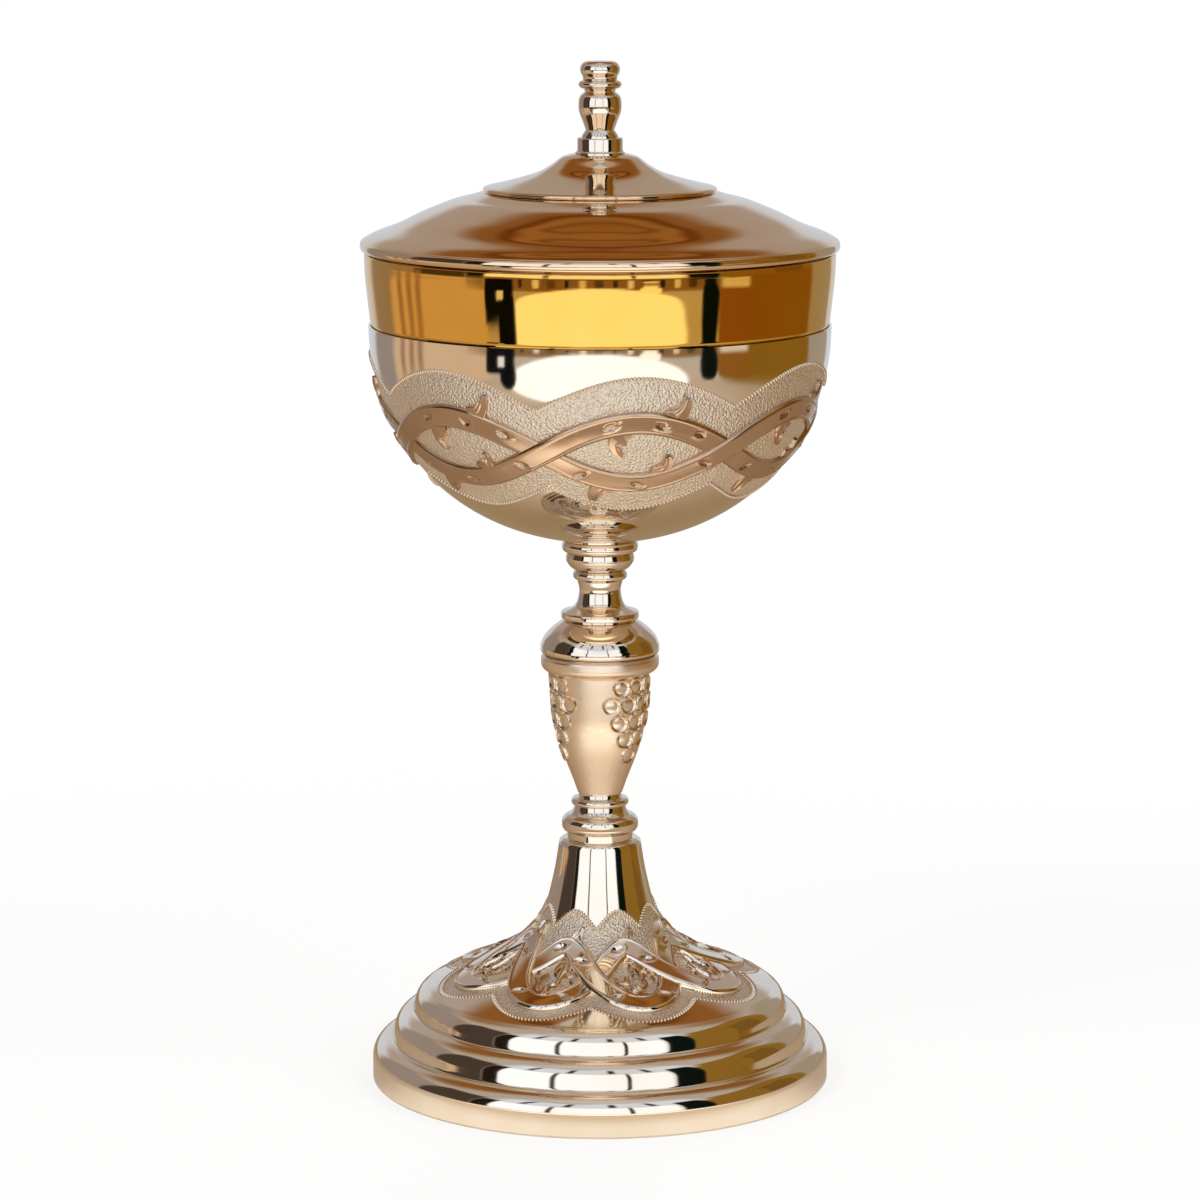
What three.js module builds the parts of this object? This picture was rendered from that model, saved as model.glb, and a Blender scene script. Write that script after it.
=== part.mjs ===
// A ciborium: a lidded cup on a turned stem and a spun foot.
// Millimetres, +Z up. The origin is on the axis, level with the underside of the foot.
// The vessel is a stack clamped by one threaded rod. The lid lifts off along Z.

import * as THREE from 'three';

// Foot, a spun shell with three rolled rings
const footHeight = 62.5;
const footRadius = 58.5;
const footWall = 1.0;
const footTopRadius = 10.4;
const footTopThickness = 1.6;
const footTopEdge = 0.9;
const hemWidth = 4.0;
const uprightBand = 5.6;
const lowRoll = 4.8;
const middleRingRadius = 53.3;
const middleRoll = 7.5;
const middleRingHeight = 7.3;
const highRingRadius = 47.9;
const highRoll = 8.0;
const highRingHeight = 6.3;

// Stem, from the foot up
const collarHeight = 12.0;
const collarRadius = 9.7;
const collarUndercut = 1.3;
const collarBeadRadius = 7.3;
const collarNeckRadius = 5.4;
const vaseHeight = 36.0;
const vaseRadius = 12.6;
const vaseNeckRadius = 5.7;
const vaseWall = 1.5;
const vaseFloor = 4.5;
const rimRingRadius = 15.0;
const rimRingHeight = 5.0;
const capHeight = 9.0;
const capRadius = 15.1;
const capWall = 1.2;
const capTopRadius = 9.5;
const neckHeight = 20.7;
const flangeRadius = 9.9;
const flangeThickness = 1.9;
const neckRadius = 5.3;
const lowBeadRadius = 6.9;
const middleBeadRadius = 8.7;
const highBeadRadius = 9.7;
const spigotRadius = 9.0;
const spigotHeight = 0.7;

// Cup: a gilded liner inside a thin chased calyx
const calyxHeight = 54.1;
const calyxRadius = 58.0;
const calyxWall = 0.6;
const calyxSeatRadius = 10.5;
const calyxSeatFlat = 9.3;
const bowlFullness = 2.1;
const goldBandHeight = 18.2;
const mouthRadius = 58.95;
const linerWall = 0.9;
const lipThickness = 1.4;
const lipHeight = 1.6;

// Rod, nut and washer that clamp the vessel, with an M6 thread
const rodRadius = 3.0;
const rodOverhang = 3.0;
const rodEndGap = 1.0;
const footWasherRadius = 8.2;
const footWasherThickness = 1.6;
const footNutFlats = 10.0;
const footNutHeight = 5.0;
const bossRadius = 5.2;
const bossHeight = 9.5;

// Lid: a spun shell, a locating skirt, a raised crown and a turned finial
const lidRise = 14.5;
const lidOverhang = 1.05;
const lidWall = 0.9;
const lidRimHeight = 2.9;
const skirtDepth = 7.0;
const skirtWall = 0.8;
const skirtClearance = 0.7;
const crownHeight = 9.4;
const crownRadius = 29.2;
const crownLip = 1.3;
const crownTopRadius = 7.4;
const crownWall = 0.9;
const finialCollarHeight = 4.1;
const finialCollarRadius = 6.3;
const finialCollarTopRadius = 5.7;
const knobHeight = 18.9;
const knobRadius = 5.4;
const knobNeckRadius = 3.6;
const knobRingRadius = 5.4;
const knobCapRadius = 5.0;
const studRadius = 2.0;
const studOverhang = 1.3;
const finialWasherRadius = 5.0;
const finialWasherThickness = 0.8;
const finialNutFlats = 7.0;
const finialNutHeight = 3.2;

// Interlaces raised on the calyx and on the bell of the foot. Two straps swing to either side of a middle
// line and cross once in each repeat. The middle is measured down the skin, the first crossing in degrees.
const calyxStraps = { repeats: 7, firstCusp: -16, middle: calyxHeight * 0.5, swing: 8.8, width: 5.7, rise: 0.5 };
const footStraps = { repeats: 8, firstCusp: -3.5, middle: footHeight * 0.6, swing: 10.3, width: 6.2, rise: 0.8 };
const strapBevel = 0.7;
const leastEye = 0.5;
const stepsPerRepeat = 5;

// Clearance between curved pieces that nest, and round every threaded rod
const nestGap = 0.3;
const lidSeatGap = 0.4;

// Straight steps round the lid, its crown, the stem and the small turned pieces
const largeSteps = 32;
const crownSteps = 24;
const stemSteps = 18;
const smallSteps = 16;

// Straight steps down the bowl, and down a line that carries straps
const bowlSteps = 7;
const fineSteps = 60;

// Levels of the stack, worked out from the underside up
const collarBase = footHeight;
const vaseBase = collarBase + collarHeight;
const capBase = vaseBase + vaseHeight;
const neckBase = capBase + capHeight;
const cupSeat = neckBase + neckHeight;
const calyxTop = cupSeat + calyxHeight;
const mouthLevel = calyxTop + goldBandHeight;
const lidBase = mouthLevel + lidSeatGap;
const crownBase = lidBase + lidRise;
const finialBase = crownBase + crownHeight;
const knobBase = finialBase + finialCollarHeight;
const linerBottom = cupSeat + calyxWall + nestGap;
const bossBase = linerBottom - bossHeight;
const rodBore = rodRadius + nestGap;
const bossBore = bossRadius + nestGap;
const lidRadius = mouthRadius + lidOverhang;
const skirtRadius = mouthRadius - lipThickness - skirtClearance;
const studBore = studRadius + nestGap;

// An arc of [radius, height] points. An angle of 0 degrees points outward and 90 degrees points up.
function arc(centreRadius, centreHeight, size, fromDegrees, toDegrees, steps) {
  const points = [];
  for (let step = 0; step <= steps; step += 1) {
    const angle = THREE.MathUtils.degToRad(fromDegrees + (toDegrees - fromDegrees) * step / steps);
    points.push([centreRadius + size * Math.cos(angle), centreHeight + size * Math.sin(angle)]);
  }
  return points;
}

// A rounded bead that stands out from one radius to another, between two heights.
function bead(rootRadius, crestRadius, low, high, steps) {
  const points = [];
  for (let step = 0; step <= steps; step += 1) {
    const angle = Math.PI * step / steps;
    points.push([
      rootRadius + (crestRadius - rootRadius) * Math.sin(angle),
      (low + high) / 2 - (high - low) / 2 * Math.cos(angle),
    ]);
  }
  return points;
}

// A smooth line through a shape. The shape's pairs are shares of the way, in radius and in height,
// from the first point to the last.
function flowing(shape, from, to, steps) {
  const knots = shape.map(([across, up]) => new THREE.Vector2(
    from[0] + (to[0] - from[0]) * across,
    from[1] + (to[1] - from[1]) * up,
  ));
  return new THREE.SplineCurve(knots).getPoints(steps).map((point) => [point.x, point.y]);
}

// The inside of a sheet: each point of an outside line moved in by the wall, square to the line.
function inset(line, wall) {
  return line.map((point, index) => {
    const before = line[Math.max(index - 1, 0)];
    const after = line[Math.min(index + 1, line.length - 1)];
    const across = after[0] - before[0];
    const up = after[1] - before[1];
    const length = Math.hypot(across, up);
    return [point[0] - wall * up / length, point[1] + wall * across / length];
  });
}

// A solid of revolution about Z. The outline runs up the outside and down the inside, or starts and
// ends on the axis. The first step starts at an angle from the front.
function turned(outline, steps, startDegrees = 0) {
  const points = outline.map(([radius, height]) => new THREE.Vector2(radius, height));
  const onAxis = outline[0][0] === 0 && outline.at(-1)[0] === 0;
  if (!onAxis) {
    points.push(points[0].clone());
  }
  const geometry = new THREE.LatheGeometry(points, steps, THREE.MathUtils.degToRad(startDegrees));
  geometry.rotateX(Math.PI / 2);
  return geometry;
}

// A closed piece through rings of points, up the outside and down the inside, with an interlace's columns.
// A ring is one [radius, height] for all columns, or a function that gives it for a share of a repeat.
function ringed(rings, { repeats, firstCusp }) {
  const columns = repeats * stepsPerRepeat;
  const positions = [];
  const index = [];
  rings.forEach((place, row) => {
    for (let column = 0; column < columns; column += 1) {
      const angle = THREE.MathUtils.degToRad(firstCusp + 360 * column / columns);
      const share = (column % stepsPerRepeat) / stepsPerRepeat;
      const [radius, height] = typeof place === 'function' ? place(share) : place;
      positions.push(radius * Math.sin(angle), -radius * Math.cos(angle), height);
      const here = row * columns + column;
      const beside = row * columns + (column + 1) % columns;
      const above = ((row + 1) % rings.length) * columns;
      index.push(here, beside, above + beside % columns, here, above + beside % columns, above + column);
    }
  });
  const geometry = new THREE.BufferGeometry();
  geometry.setAttribute('position', new THREE.Float32BufferAttribute(positions, 3));
  geometry.setIndex(index);
  geometry.computeVertexNormals();
  return geometry;
}

// A skin for ornament: a function that gives [radius, height] at a distance down a line, lifted off it.
function skinOf(line) {
  const lengths = [0];
  line.slice(1).forEach(([radius, height], index) => {
    lengths.push(lengths[index] + Math.hypot(radius - line[index][0], height - line[index][1]));
  });
  return (along, lift) => {
    const end = Math.max(lengths.findIndex((length) => length > along), 1);
    const size = lengths[end] - lengths[end - 1];
    const across = (line[end][0] - line[end - 1][0]) / size;
    const up = (line[end][1] - line[end - 1][1]) / size;
    const beyond = along - lengths[end - 1];
    return [line[end - 1][0] + across * beyond - up * lift, line[end - 1][1] + up * beyond + across * lift];
  };
}

// The rings that raise an interlace on a skin, from its lower edge up. Where the straps cross, the eye
// between them is filled.
function strapRings(skin, straps) {
  const repeatLength = 2 * Math.PI * skin(straps.middle, 0)[0] / straps.repeats;
  const steepest = Math.PI * straps.swing / repeatLength;
  const edge = strapBevel / 2;
  const places = (share) => {
    const half = straps.width / 2 * Math.hypot(1, steepest * Math.cos(Math.PI * share));
    const away = straps.swing * Math.sin(Math.PI * share);
    const inner = Math.max(away - half, leastEye);
    const eyeFloor = away - half > leastEye ? 0 : straps.rise;
    const side = [
      [away + half + edge, 0],
      [away + half - edge, straps.rise],
      [inner + edge, straps.rise],
      [inner - edge, eyeFloor],
    ];
    const upperSide = side.map(([distance, lift]) => [-distance, lift]).reverse();
    return [...side, ...upperSide];
  };
  return places(0).map((first, row) => (share) => {
    const [distance, lift] = places(share)[row];
    return skin(straps.middle + distance, lift);
  });
}

// A plain ring with a bore.
function ring(radius, bore, low, high, steps) {
  return turned([[bore, low], [radius, low], [radius, high], [bore, high]], steps);
}

// A hexagon nut with a bore, from its width across the flats.
function hexNut(flats, bore, low, height) {
  const corner = flats / 2 / Math.cos(Math.PI / 6);
  const shape = new THREE.Shape();
  for (let side = 0; side < 6; side += 1) {
    const angle = side * Math.PI / 3;
    const place = [corner * Math.cos(angle), corner * Math.sin(angle)];
    if (side === 0) {
      shape.moveTo(...place);
    } else {
      shape.lineTo(...place);
    }
  }
  shape.closePath();
  const hole = new THREE.Path();
  hole.absarc(0, 0, bore, 0, 2 * Math.PI, true);
  shape.holes.push(hole);
  const geometry = new THREE.ExtrudeGeometry(shape, { depth: height, bevelEnabled: false, curveSegments: 9 });
  geometry.translate(0, 0, low);
  return geometry;
}

// The lower outside of the foot from the ground up: an upright band, a low roll and two rounded rings.
function footRingsLine(rollSteps) {
  const lowLedge = uprightBand + lowRoll;
  const middleLedge = lowLedge + middleRingHeight;
  return [
    [footRadius, 0],
    ...arc(footRadius - lowRoll, uprightBand, lowRoll, 0, 78, rollSteps),
    ...arc(middleRingRadius - middleRoll, lowLedge, middleRoll, 3, 72, rollSteps),
    ...arc(highRingRadius - highRoll, middleLedge, highRoll, 2, 48, rollSteps - 1),
  ];
}

// The bell of the foot, from the highest ring up to the collar.
function bellLine(steps) {
  const base = uprightBand + lowRoll + middleRingHeight + highRingHeight;
  const shape = [[0, 0], [0.137, 0.053], [0.439, 0.16], [0.696, 0.293], [0.863, 0.48], [0.951, 0.747], [1, 1]];
  const foot = highRingRadius - highRoll * 0.43;
  return flowing(shape, [foot, base], [footTopRadius, footHeight - footTopEdge], steps);
}

// Foot: the shell, closed at the top by a seat with a hole for the rod, and turned in below as a hem.
function footShell() {
  const inside = inset([...footRingsLine(2), ...bellLine(9)], footWall).slice(1);
  const underSeat = footHeight - footTopThickness;
  const skin = skinOf(bellLine(fineSteps).reverse());
  const aboveStraps = [22, 14, 7, 0].map((along) => skin(along, 0));
  return ringed([
    [footRadius - hemWidth, 0],
    ...footRingsLine(3),
    bellLine(1)[0],
    ...strapRings(skin, footStraps),
    ...aboveStraps,
    [footTopRadius - footTopEdge, footHeight],
    [rodBore, footHeight],
    [rodBore, underSeat],
    [inside.at(-1)[0], underSeat],
    ...inside.filter(([, height]) => height < underSeat - footWall).reverse(),
    [footRadius - footWall, footWall],
    [footRadius - hemWidth, footWall],
  ], footStraps);
}

// Stem collar: an undercut round band, a waist and a small bead under the vase.
function stemCollar() {
  const bandLow = collarBase + collarHeight * 0.17;
  const bandHigh = collarBase + collarHeight * 0.52;
  const beadLow = collarBase + collarHeight * 0.72;
  const beadHigh = collarBase + collarHeight * 0.87;
  return turned([
    [rodBore, collarBase],
    [collarRadius - collarUndercut, collarBase],
    ...bead(collarRadius - 0.35, collarRadius, bandLow, bandHigh, 3),
    ...flowing([[0, 0], [0.6, 0.35], [1, 1]], [collarRadius - 0.8, bandHigh + 0.5], [collarBeadRadius - 0.7, beadLow], 3),
    ...bead(collarBeadRadius - 0.5, collarBeadRadius, beadLow + 0.2, beadHigh, 2),
    [collarNeckRadius, beadHigh + 0.3],
    [collarNeckRadius, vaseBase],
    [rodBore, vaseBase],
  ], stemSteps);
}

// Vase: a hollow casting that swells up to a thick rim ring. Its floor carries the bore.
function knopVase() {
  const swellShape = [[0, 0], [0.178, 0.113], [0.609, 0.371], [0.877, 0.629], [0.971, 0.887], [1, 1]];
  const ringBase = capBase - rimRingHeight;
  const outside = flowing(swellShape, [vaseNeckRadius, vaseBase], [vaseRadius, ringBase], 7);
  const inside = inset(outside, vaseWall).filter(([, height]) => height > vaseBase + vaseFloor);
  return turned([
    [rodBore, vaseBase],
    ...outside,
    ...arc(rimRingRadius - 2.2, ringBase + 2.6, 2.2, -60, 0, 3),
    [rimRingRadius, capBase - 1.1],
    [rimRingRadius - 0.7, capBase],
    [vaseRadius - vaseWall, capBase],
    ...inside.reverse(),
    [rodBore, vaseBase + vaseFloor],
  ], stemSteps);
}

// Cap: a dome with an open underside that closes the vase and carries the neck.
function knopCap() {
  const domeShape = [[0, 0], [0.16, 0.32], [0.42, 0.6], [0.72, 0.82], [1, 1]];
  const outside = [
    [capRadius - 0.6, capBase],
    [capRadius, capBase + 0.9],
    ...flowing(domeShape, [capRadius, capBase + 2.4], [capTopRadius, neckBase], 5),
  ];
  const inside = inset(outside, capWall).slice(1, -1);
  return turned([
    ...outside,
    [rodBore, neckBase],
    [rodBore, neckBase - capWall],
    [capTopRadius - capWall, neckBase - capWall],
    ...inside.reverse(),
    [capRadius - 0.6 - capWall, capBase],
  ], stemSteps);
}

// Neck: a flange, a cove, three beads and a spigot under the cup, with a deep recess for the boss.
function stemNeck() {
  const flangeTop = neckBase + flangeThickness;
  const beadBase = neckBase + neckHeight * 0.47;
  const middleBase = neckBase + neckHeight * 0.605;
  const highBase = neckBase + neckHeight * 0.83;
  const spigotBase = cupSeat - spigotHeight;
  const coveShape = [[0, 0], [0.62, 0.14], [0.9, 0.37], [1, 0.72], [0.88, 1]];
  const cupShape = [[0, 0], [0.55, 0.22], [1, 0.62], [0.9, 1]];
  return turned([
    [rodBore, neckBase],
    [flangeRadius - 0.5, neckBase],
    [flangeRadius, neckBase + 0.4],
    [flangeRadius, flangeTop - 0.2],
    ...flowing(coveShape, [flangeRadius - 0.5, flangeTop], [neckRadius, beadBase], 5),
    ...bead(lowBeadRadius - 0.7, lowBeadRadius, beadBase + 0.4, middleBase - 0.2, 3),
    ...flowing(cupShape, [lowBeadRadius - 0.2, middleBase], [middleBeadRadius, highBase - 0.3], 3),
    ...bead(highBeadRadius - 0.8, highBeadRadius, highBase, spigotBase, 3),
    [spigotRadius, spigotBase],
    [spigotRadius, cupSeat],
    [bossBore, cupSeat],
    [bossBore, bossBase - nestGap],
    [rodBore, bossBase - nestGap],
  ], stemSteps);
}

// The outside line of the cup's bowl, from the edge of its flat seat to the calyx's top edge. It is a
// superellipse whose lowest point would lie a little under the seat.
function bowlLine(steps) {
  const seatCosine = (1 - (calyxSeatRadius / calyxRadius) ** bowlFullness) ** (1 / bowlFullness);
  const depth = calyxHeight / seatCosine;
  const firstAngle = Math.asin((calyxSeatRadius / calyxRadius) ** (bowlFullness / 2));
  const points = [];
  for (let step = 0; step <= steps; step += 1) {
    const angle = firstAngle + (Math.PI / 2 - firstAngle) * step / steps;
    points.push([
      calyxRadius * Math.sin(angle) ** (2 / bowlFullness),
      calyxTop - depth * Math.max(Math.cos(angle), 0) ** (2 / bowlFullness),
    ]);
  }
  return points;
}

// Calyx: the thin outer bowl with its raised straps, a flat seat and a hole for the boss.
function calyx() {
  const plain = [[bossBore, cupSeat], [calyxSeatFlat, cupSeat], ...bowlLine(bowlSteps)];
  const skin = skinOf(bowlLine(fineSteps).reverse());
  const reach = calyxStraps.swing + calyxStraps.width * 0.7;
  const underStraps = skin(calyxStraps.middle + reach, 0);
  return ringed([
    ...plain.filter(([, height]) => height < underStraps[1] - 1),
    underStraps,
    ...strapRings(skin, calyxStraps),
    skin(calyxStraps.middle - reach, 0),
    skin(calyxStraps.middle * 0.25, 0),
    plain.at(-1),
    ...inset(plain, calyxWall).reverse(),
  ], calyxStraps);
}

// Liner: the gilded cup. It follows the calyx inside a small gap, widens above the calyx to the smooth
// band and ends in a thick lip with a flat top.
function cupLiner() {
  const bowl = [[0, cupSeat], [calyxSeatFlat, cupSeat], ...bowlLine(bowlSteps)];
  const insideCalyx = inset(bowl, calyxWall + nestGap);
  const lipBase = mouthLevel - lipHeight;
  const bandBase = calyxTop + calyxWall + nestGap;
  const band = [
    [mouthRadius - 1.35, bandBase],
    [mouthRadius - 0.45, bandBase + goldBandHeight * 0.5],
  ];
  const wallLine = [...insideCalyx, ...band, [mouthRadius, lipBase]];
  const lipInside = mouthRadius - lipThickness;
  return turned([
    ...wallLine,
    [mouthRadius, mouthLevel - 0.35],
    [mouthRadius - 0.35, mouthLevel],
    [lipInside, mouthLevel],
    [lipInside, lipBase],
    ...inset(wallLine, linerWall).slice(0, -1).reverse(),
  ], calyxStraps.repeats * stepsPerRepeat, calyxStraps.firstCusp);
}

// Lid shell: a thick rounded rim, a gently waved slope and a flat centre under the crown.
function lidShell() {
  const rimTop = lidBase + lidRimHeight;
  const slopeShape = [[0, 0], [0.094, 0.12], [0.273, 0.29], [0.478, 0.547], [0.727, 0.803], [0.862, 0.889], [1, 1]];
  const slope = flowing(slopeShape, [lidRadius - 0.9, rimTop], [crownRadius + 0.2, crownBase], 6);
  const flatCentre = [[studBore, crownBase]];
  const underside = inset([...slope, ...flatCentre], lidWall);
  const rimInside = skirtRadius + nestGap;
  return turned([
    [rimInside, lidBase],
    [lidRadius - 1.0, lidBase],
    ...bead(lidRadius - 0.5, lidRadius, lidBase + 0.5, rimTop - 0.5, 2),
    ...slope,
    ...flatCentre,
    ...underside.reverse().filter(([radius]) => radius < rimInside - lidWall),
    [rimInside, rimTop - lidWall],
  ], largeSteps);
}

// Skirt: the ring soldered inside the rim, which drops into the mouth and centres the lid.
function lidSkirt() {
  const top = lidBase + lidRimHeight - lidWall;
  return turned([
    [skirtRadius - skirtWall, lidBase - skirtDepth],
    [skirtRadius - skirtWall / 2, lidBase - skirtDepth],
    [skirtRadius, lidBase - skirtDepth + skirtWall],
    [skirtRadius, top],
    [skirtRadius - skirtWall, top],
  ], largeSteps);
}

// Crown: the raised centre of the lid, with a rolled lip, hollow underneath.
function lidCrown() {
  const flareShape = [[0, 0], [0.275, 0.171], [0.588, 0.415], [0.768, 0.659], [0.891, 0.902], [1, 1]];
  const lipTop = crownBase + crownLip;
  const flare = flowing(flareShape, [crownRadius - 0.6, lipTop], [crownTopRadius, finialBase], 6);
  const inside = inset(flare, crownWall).filter(([, height]) => height < finialBase - crownWall);
  return turned([
    [crownRadius - 0.7, crownBase],
    ...bead(crownRadius - 0.5, crownRadius, crownBase + 0.2, lipTop - 0.1, 2),
    ...flare,
    [studBore, finialBase],
    [studBore, finialBase - crownWall],
    [crownTopRadius - crownWall, finialBase - crownWall],
    ...inside.slice(1).reverse(),
    [crownRadius - 0.7 - crownWall, crownBase],
  ], crownSteps);
}

// Finial collar: a short ring with a spread foot.
function finialCollar() {
  return turned([
    [studBore, finialBase],
    [finialCollarRadius, finialBase],
    [finialCollarRadius, finialBase + 0.3],
    [finialCollarTopRadius, finialBase + 1.3],
    [finialCollarTopRadius, knobBase - 0.3],
    [finialCollarTopRadius - 0.3, knobBase],
    [studBore, knobBase],
  ], smallSteps);
}

// Knob: a turned baluster with a ring and a rounded cap. Its threaded tail passes through the lid.
function finialKnob() {
  const tailEnd = crownBase - lidWall - finialWasherThickness - finialNutHeight - studOverhang;
  const bulbBase = knobBase + knobHeight * 0.1;
  const bulbTop = knobBase + knobHeight * 0.6;
  const ringLow = knobBase + knobHeight * 0.64;
  const ringHigh = knobBase + knobHeight * 0.75;
  const capLow = knobBase + knobHeight * 0.8;
  const top = knobBase + knobHeight;
  const bulbShape = [[0, 0], [0.5, 0.26], [0.93, 0.55], [1, 0.75], [0.75, 0.9], [0.1, 1]];
  return turned([
    [0, tailEnd],
    [studRadius, tailEnd],
    [studRadius, knobBase],
    [knobNeckRadius + 1.0, knobBase],
    ...flowing(bulbShape, [knobNeckRadius, bulbBase], [knobRadius, bulbTop], 7),
    ...bead(knobNeckRadius + 0.5, knobRingRadius, ringLow, ringHigh, 3),
    [knobCapRadius - 0.7, capLow],
    ...arc(knobCapRadius - 2.0, top - 2.0, 2.0, -20, 90, 4),
    [0, top],
  ], smallSteps);
}

// Finishes seen in the photo, with plain steel and brass for the fittings inside
const champagne = new THREE.MeshStandardMaterial({ color: 0xdcb892, roughness: 0.16, metalness: 1.0 });
const gilding = new THREE.MeshStandardMaterial({ color: 0xe9b04e, roughness: 0.1, metalness: 1.0 });
const brass = new THREE.MeshStandardMaterial({ color: 0xc49a4a, roughness: 0.35, metalness: 1.0 });
const steel = new THREE.MeshStandardMaterial({ color: 0xb8babd, roughness: 0.4, metalness: 1.0 });

function piece(name, geometry, material) {
  const mesh = new THREE.Mesh(geometry, material);
  mesh.name = name;
  return mesh;
}

// Everything that the rod clamps together.
function vessel() {
  const underSeat = footHeight - footTopThickness;
  const washerBase = underSeat - footWasherThickness;
  const nutBase = washerBase - footNutHeight;
  const group = new THREE.Group();
  group.add(
    piece('foot_shell', footShell(), champagne),
    piece('foot_washer', ring(footWasherRadius, rodBore, washerBase, underSeat, smallSteps), steel),
    piece('foot_nut', hexNut(footNutFlats, rodBore, nutBase, footNutHeight), steel),
    piece('stem_collar', stemCollar(), champagne),
    piece('knop_vase', knopVase(), champagne),
    piece('knop_cap', knopCap(), champagne),
    piece('stem_neck', stemNeck(), champagne),
    piece('calyx', calyx(), champagne),
    piece('cup_boss', ring(bossRadius, rodBore, bossBase, linerBottom, smallSteps), brass),
    piece('cup_liner', cupLiner(), gilding),
  );
  const rodTop = linerBottom - rodEndGap;
  const rodEnd = nutBase - rodOverhang;
  const rod = new THREE.CylinderGeometry(rodRadius, rodRadius, rodTop - rodEnd, smallSteps);
  rod.rotateX(Math.PI / 2);
  rod.translate(0, 0, (rodTop + rodEnd) / 2);
  group.add(piece('tie_rod', rod, steel));
  return group;
}

// Everything that lifts off with the lid.
function lid() {
  const underLid = crownBase - lidWall;
  const washerBase = underLid - finialWasherThickness;
  const group = new THREE.Group();
  group.add(
    piece('lid_shell', lidShell(), champagne),
    piece('lid_skirt', lidSkirt(), champagne),
    piece('lid_crown', lidCrown(), champagne),
    piece('finial_collar', finialCollar(), champagne),
    piece('finial_knob', finialKnob(), champagne),
    piece('finial_washer', ring(finialWasherRadius, studBore, washerBase, underLid, smallSteps), brass),
    piece('finial_nut', hexNut(finialNutFlats, studBore, washerBase - finialNutHeight, finialNutHeight), brass),
  );
  return group;
}

const ciborium = new THREE.Group();
ciborium.add(vessel(), lid());

export default ciborium;
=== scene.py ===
"""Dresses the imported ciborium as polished, chased and gilded plate in a plain pale studio.

Sizes in the classes are millimetres and become metres where a mesh is made. A turned line
is a list of radius and height pairs. A place on a skin is an angle from the front, positive
to the right, and a distance down the skin from its top edge.
"""

from __future__ import annotations

import logging
import math
from dataclasses import dataclass, field, replace
from enum import Enum

import bmesh
import bpy
import numpy as np
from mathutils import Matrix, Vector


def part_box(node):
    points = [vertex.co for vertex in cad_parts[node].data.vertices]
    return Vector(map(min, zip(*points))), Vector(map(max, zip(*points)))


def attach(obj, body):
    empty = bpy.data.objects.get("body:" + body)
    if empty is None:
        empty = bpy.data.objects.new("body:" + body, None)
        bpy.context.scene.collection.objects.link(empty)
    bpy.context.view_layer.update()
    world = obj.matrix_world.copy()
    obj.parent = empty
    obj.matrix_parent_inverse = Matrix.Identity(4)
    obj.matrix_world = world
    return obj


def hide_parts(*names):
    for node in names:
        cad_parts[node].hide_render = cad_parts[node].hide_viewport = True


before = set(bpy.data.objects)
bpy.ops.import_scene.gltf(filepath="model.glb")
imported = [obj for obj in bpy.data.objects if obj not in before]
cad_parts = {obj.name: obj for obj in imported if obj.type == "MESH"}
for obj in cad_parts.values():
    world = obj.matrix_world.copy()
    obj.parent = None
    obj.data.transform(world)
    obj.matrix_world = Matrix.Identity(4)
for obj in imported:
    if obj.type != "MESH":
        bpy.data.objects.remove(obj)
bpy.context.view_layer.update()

MM = 0.001
DOUBLES_MM = 0.002
log = logging.getLogger("ciborium")

Line = list[tuple[float, float]]
Colour = tuple[float, float, float, float]
Quad = tuple[int, int, int, int]
Tree = bpy.types.NodeTree
Node = bpy.types.Node
Finish = bpy.types.Material
Item = bpy.types.Object


class Body(Enum):
    """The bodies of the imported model."""

    VESSEL = "vessel"
    LID = "lid"


class Slot(Enum):
    """The material slots."""

    CHAMPAGNE = "champagne_gold"
    CHASED = "chased_champagne"
    GILDING = "gilding"
    STEEL = "steel_fitting"
    BRASS = "brass_fitting"


def linear(code: str) -> Colour:
    """Turns an sRGB hex colour into a linear one.

    Args:
        code: Six hex digits.

    Returns:
        Red, green and blue, with an alpha of one.
    """
    shares = [int(code[start:start + 2], 16) / 255 for start in (0, 2, 4)]
    red, green, blue = [s / 12.92 if s <= 0.04045 else ((s + 0.055) / 1.055) ** 2.4 for s in shares]
    return red, green, blue, 1.0


def add_node(tree: Tree, kind: str, inputs: dict | None = None, **settings) -> Node:
    """Adds a node with its settings, its values and its links.

    Args:
        tree: The tree that takes the node.
        kind: The node's type.
        inputs: Each input's name or number, with a value or with the socket that feeds it.
        settings: Properties of the node.

    Returns:
        The new node.
    """
    node = tree.nodes.new(kind)
    for name, value in settings.items():
        setattr(node, name, value)
    for key, value in (inputs or {}).items():
        if isinstance(value, bpy.types.NodeSocket):
            tree.links.new(value, node.inputs[key])
        else:
            node.inputs[key].default_value = value
    return node


def bare_material(name: str) -> tuple[Finish, Tree]:
    """Makes a material whose tree is empty.

    Args:
        name: The material's name.

    Returns:
        The material and its tree.
    """
    made = bpy.data.materials.new(name)
    made.use_nodes = True
    made.node_tree.nodes.clear()
    return made, made.node_tree


def smooth_step(value: np.ndarray) -> np.ndarray:
    """Eases a value from 0 to 1 as it passes from 0 to 1."""
    held = np.clip(value, 0.0, 1.0)
    return held * held * (3.0 - 2.0 * held)


def arc(centre: tuple[float, float], size: float, start: float, end: float, steps: int) -> Line:
    """Draws an arc, where 0 degrees points outward and 90 degrees points up.

    Args:
        centre: Radius and height of the arc's centre.
        size: The arc's own radius.
        start: First angle in degrees.
        end: Last angle in degrees.
        steps: Straight steps along it.

    Returns:
        The arc's points.
    """
    angles = np.radians(np.linspace(start, end, steps + 1))
    return [(centre[0] + size * math.cos(a), centre[1] + size * math.sin(a)) for a in angles]


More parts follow.
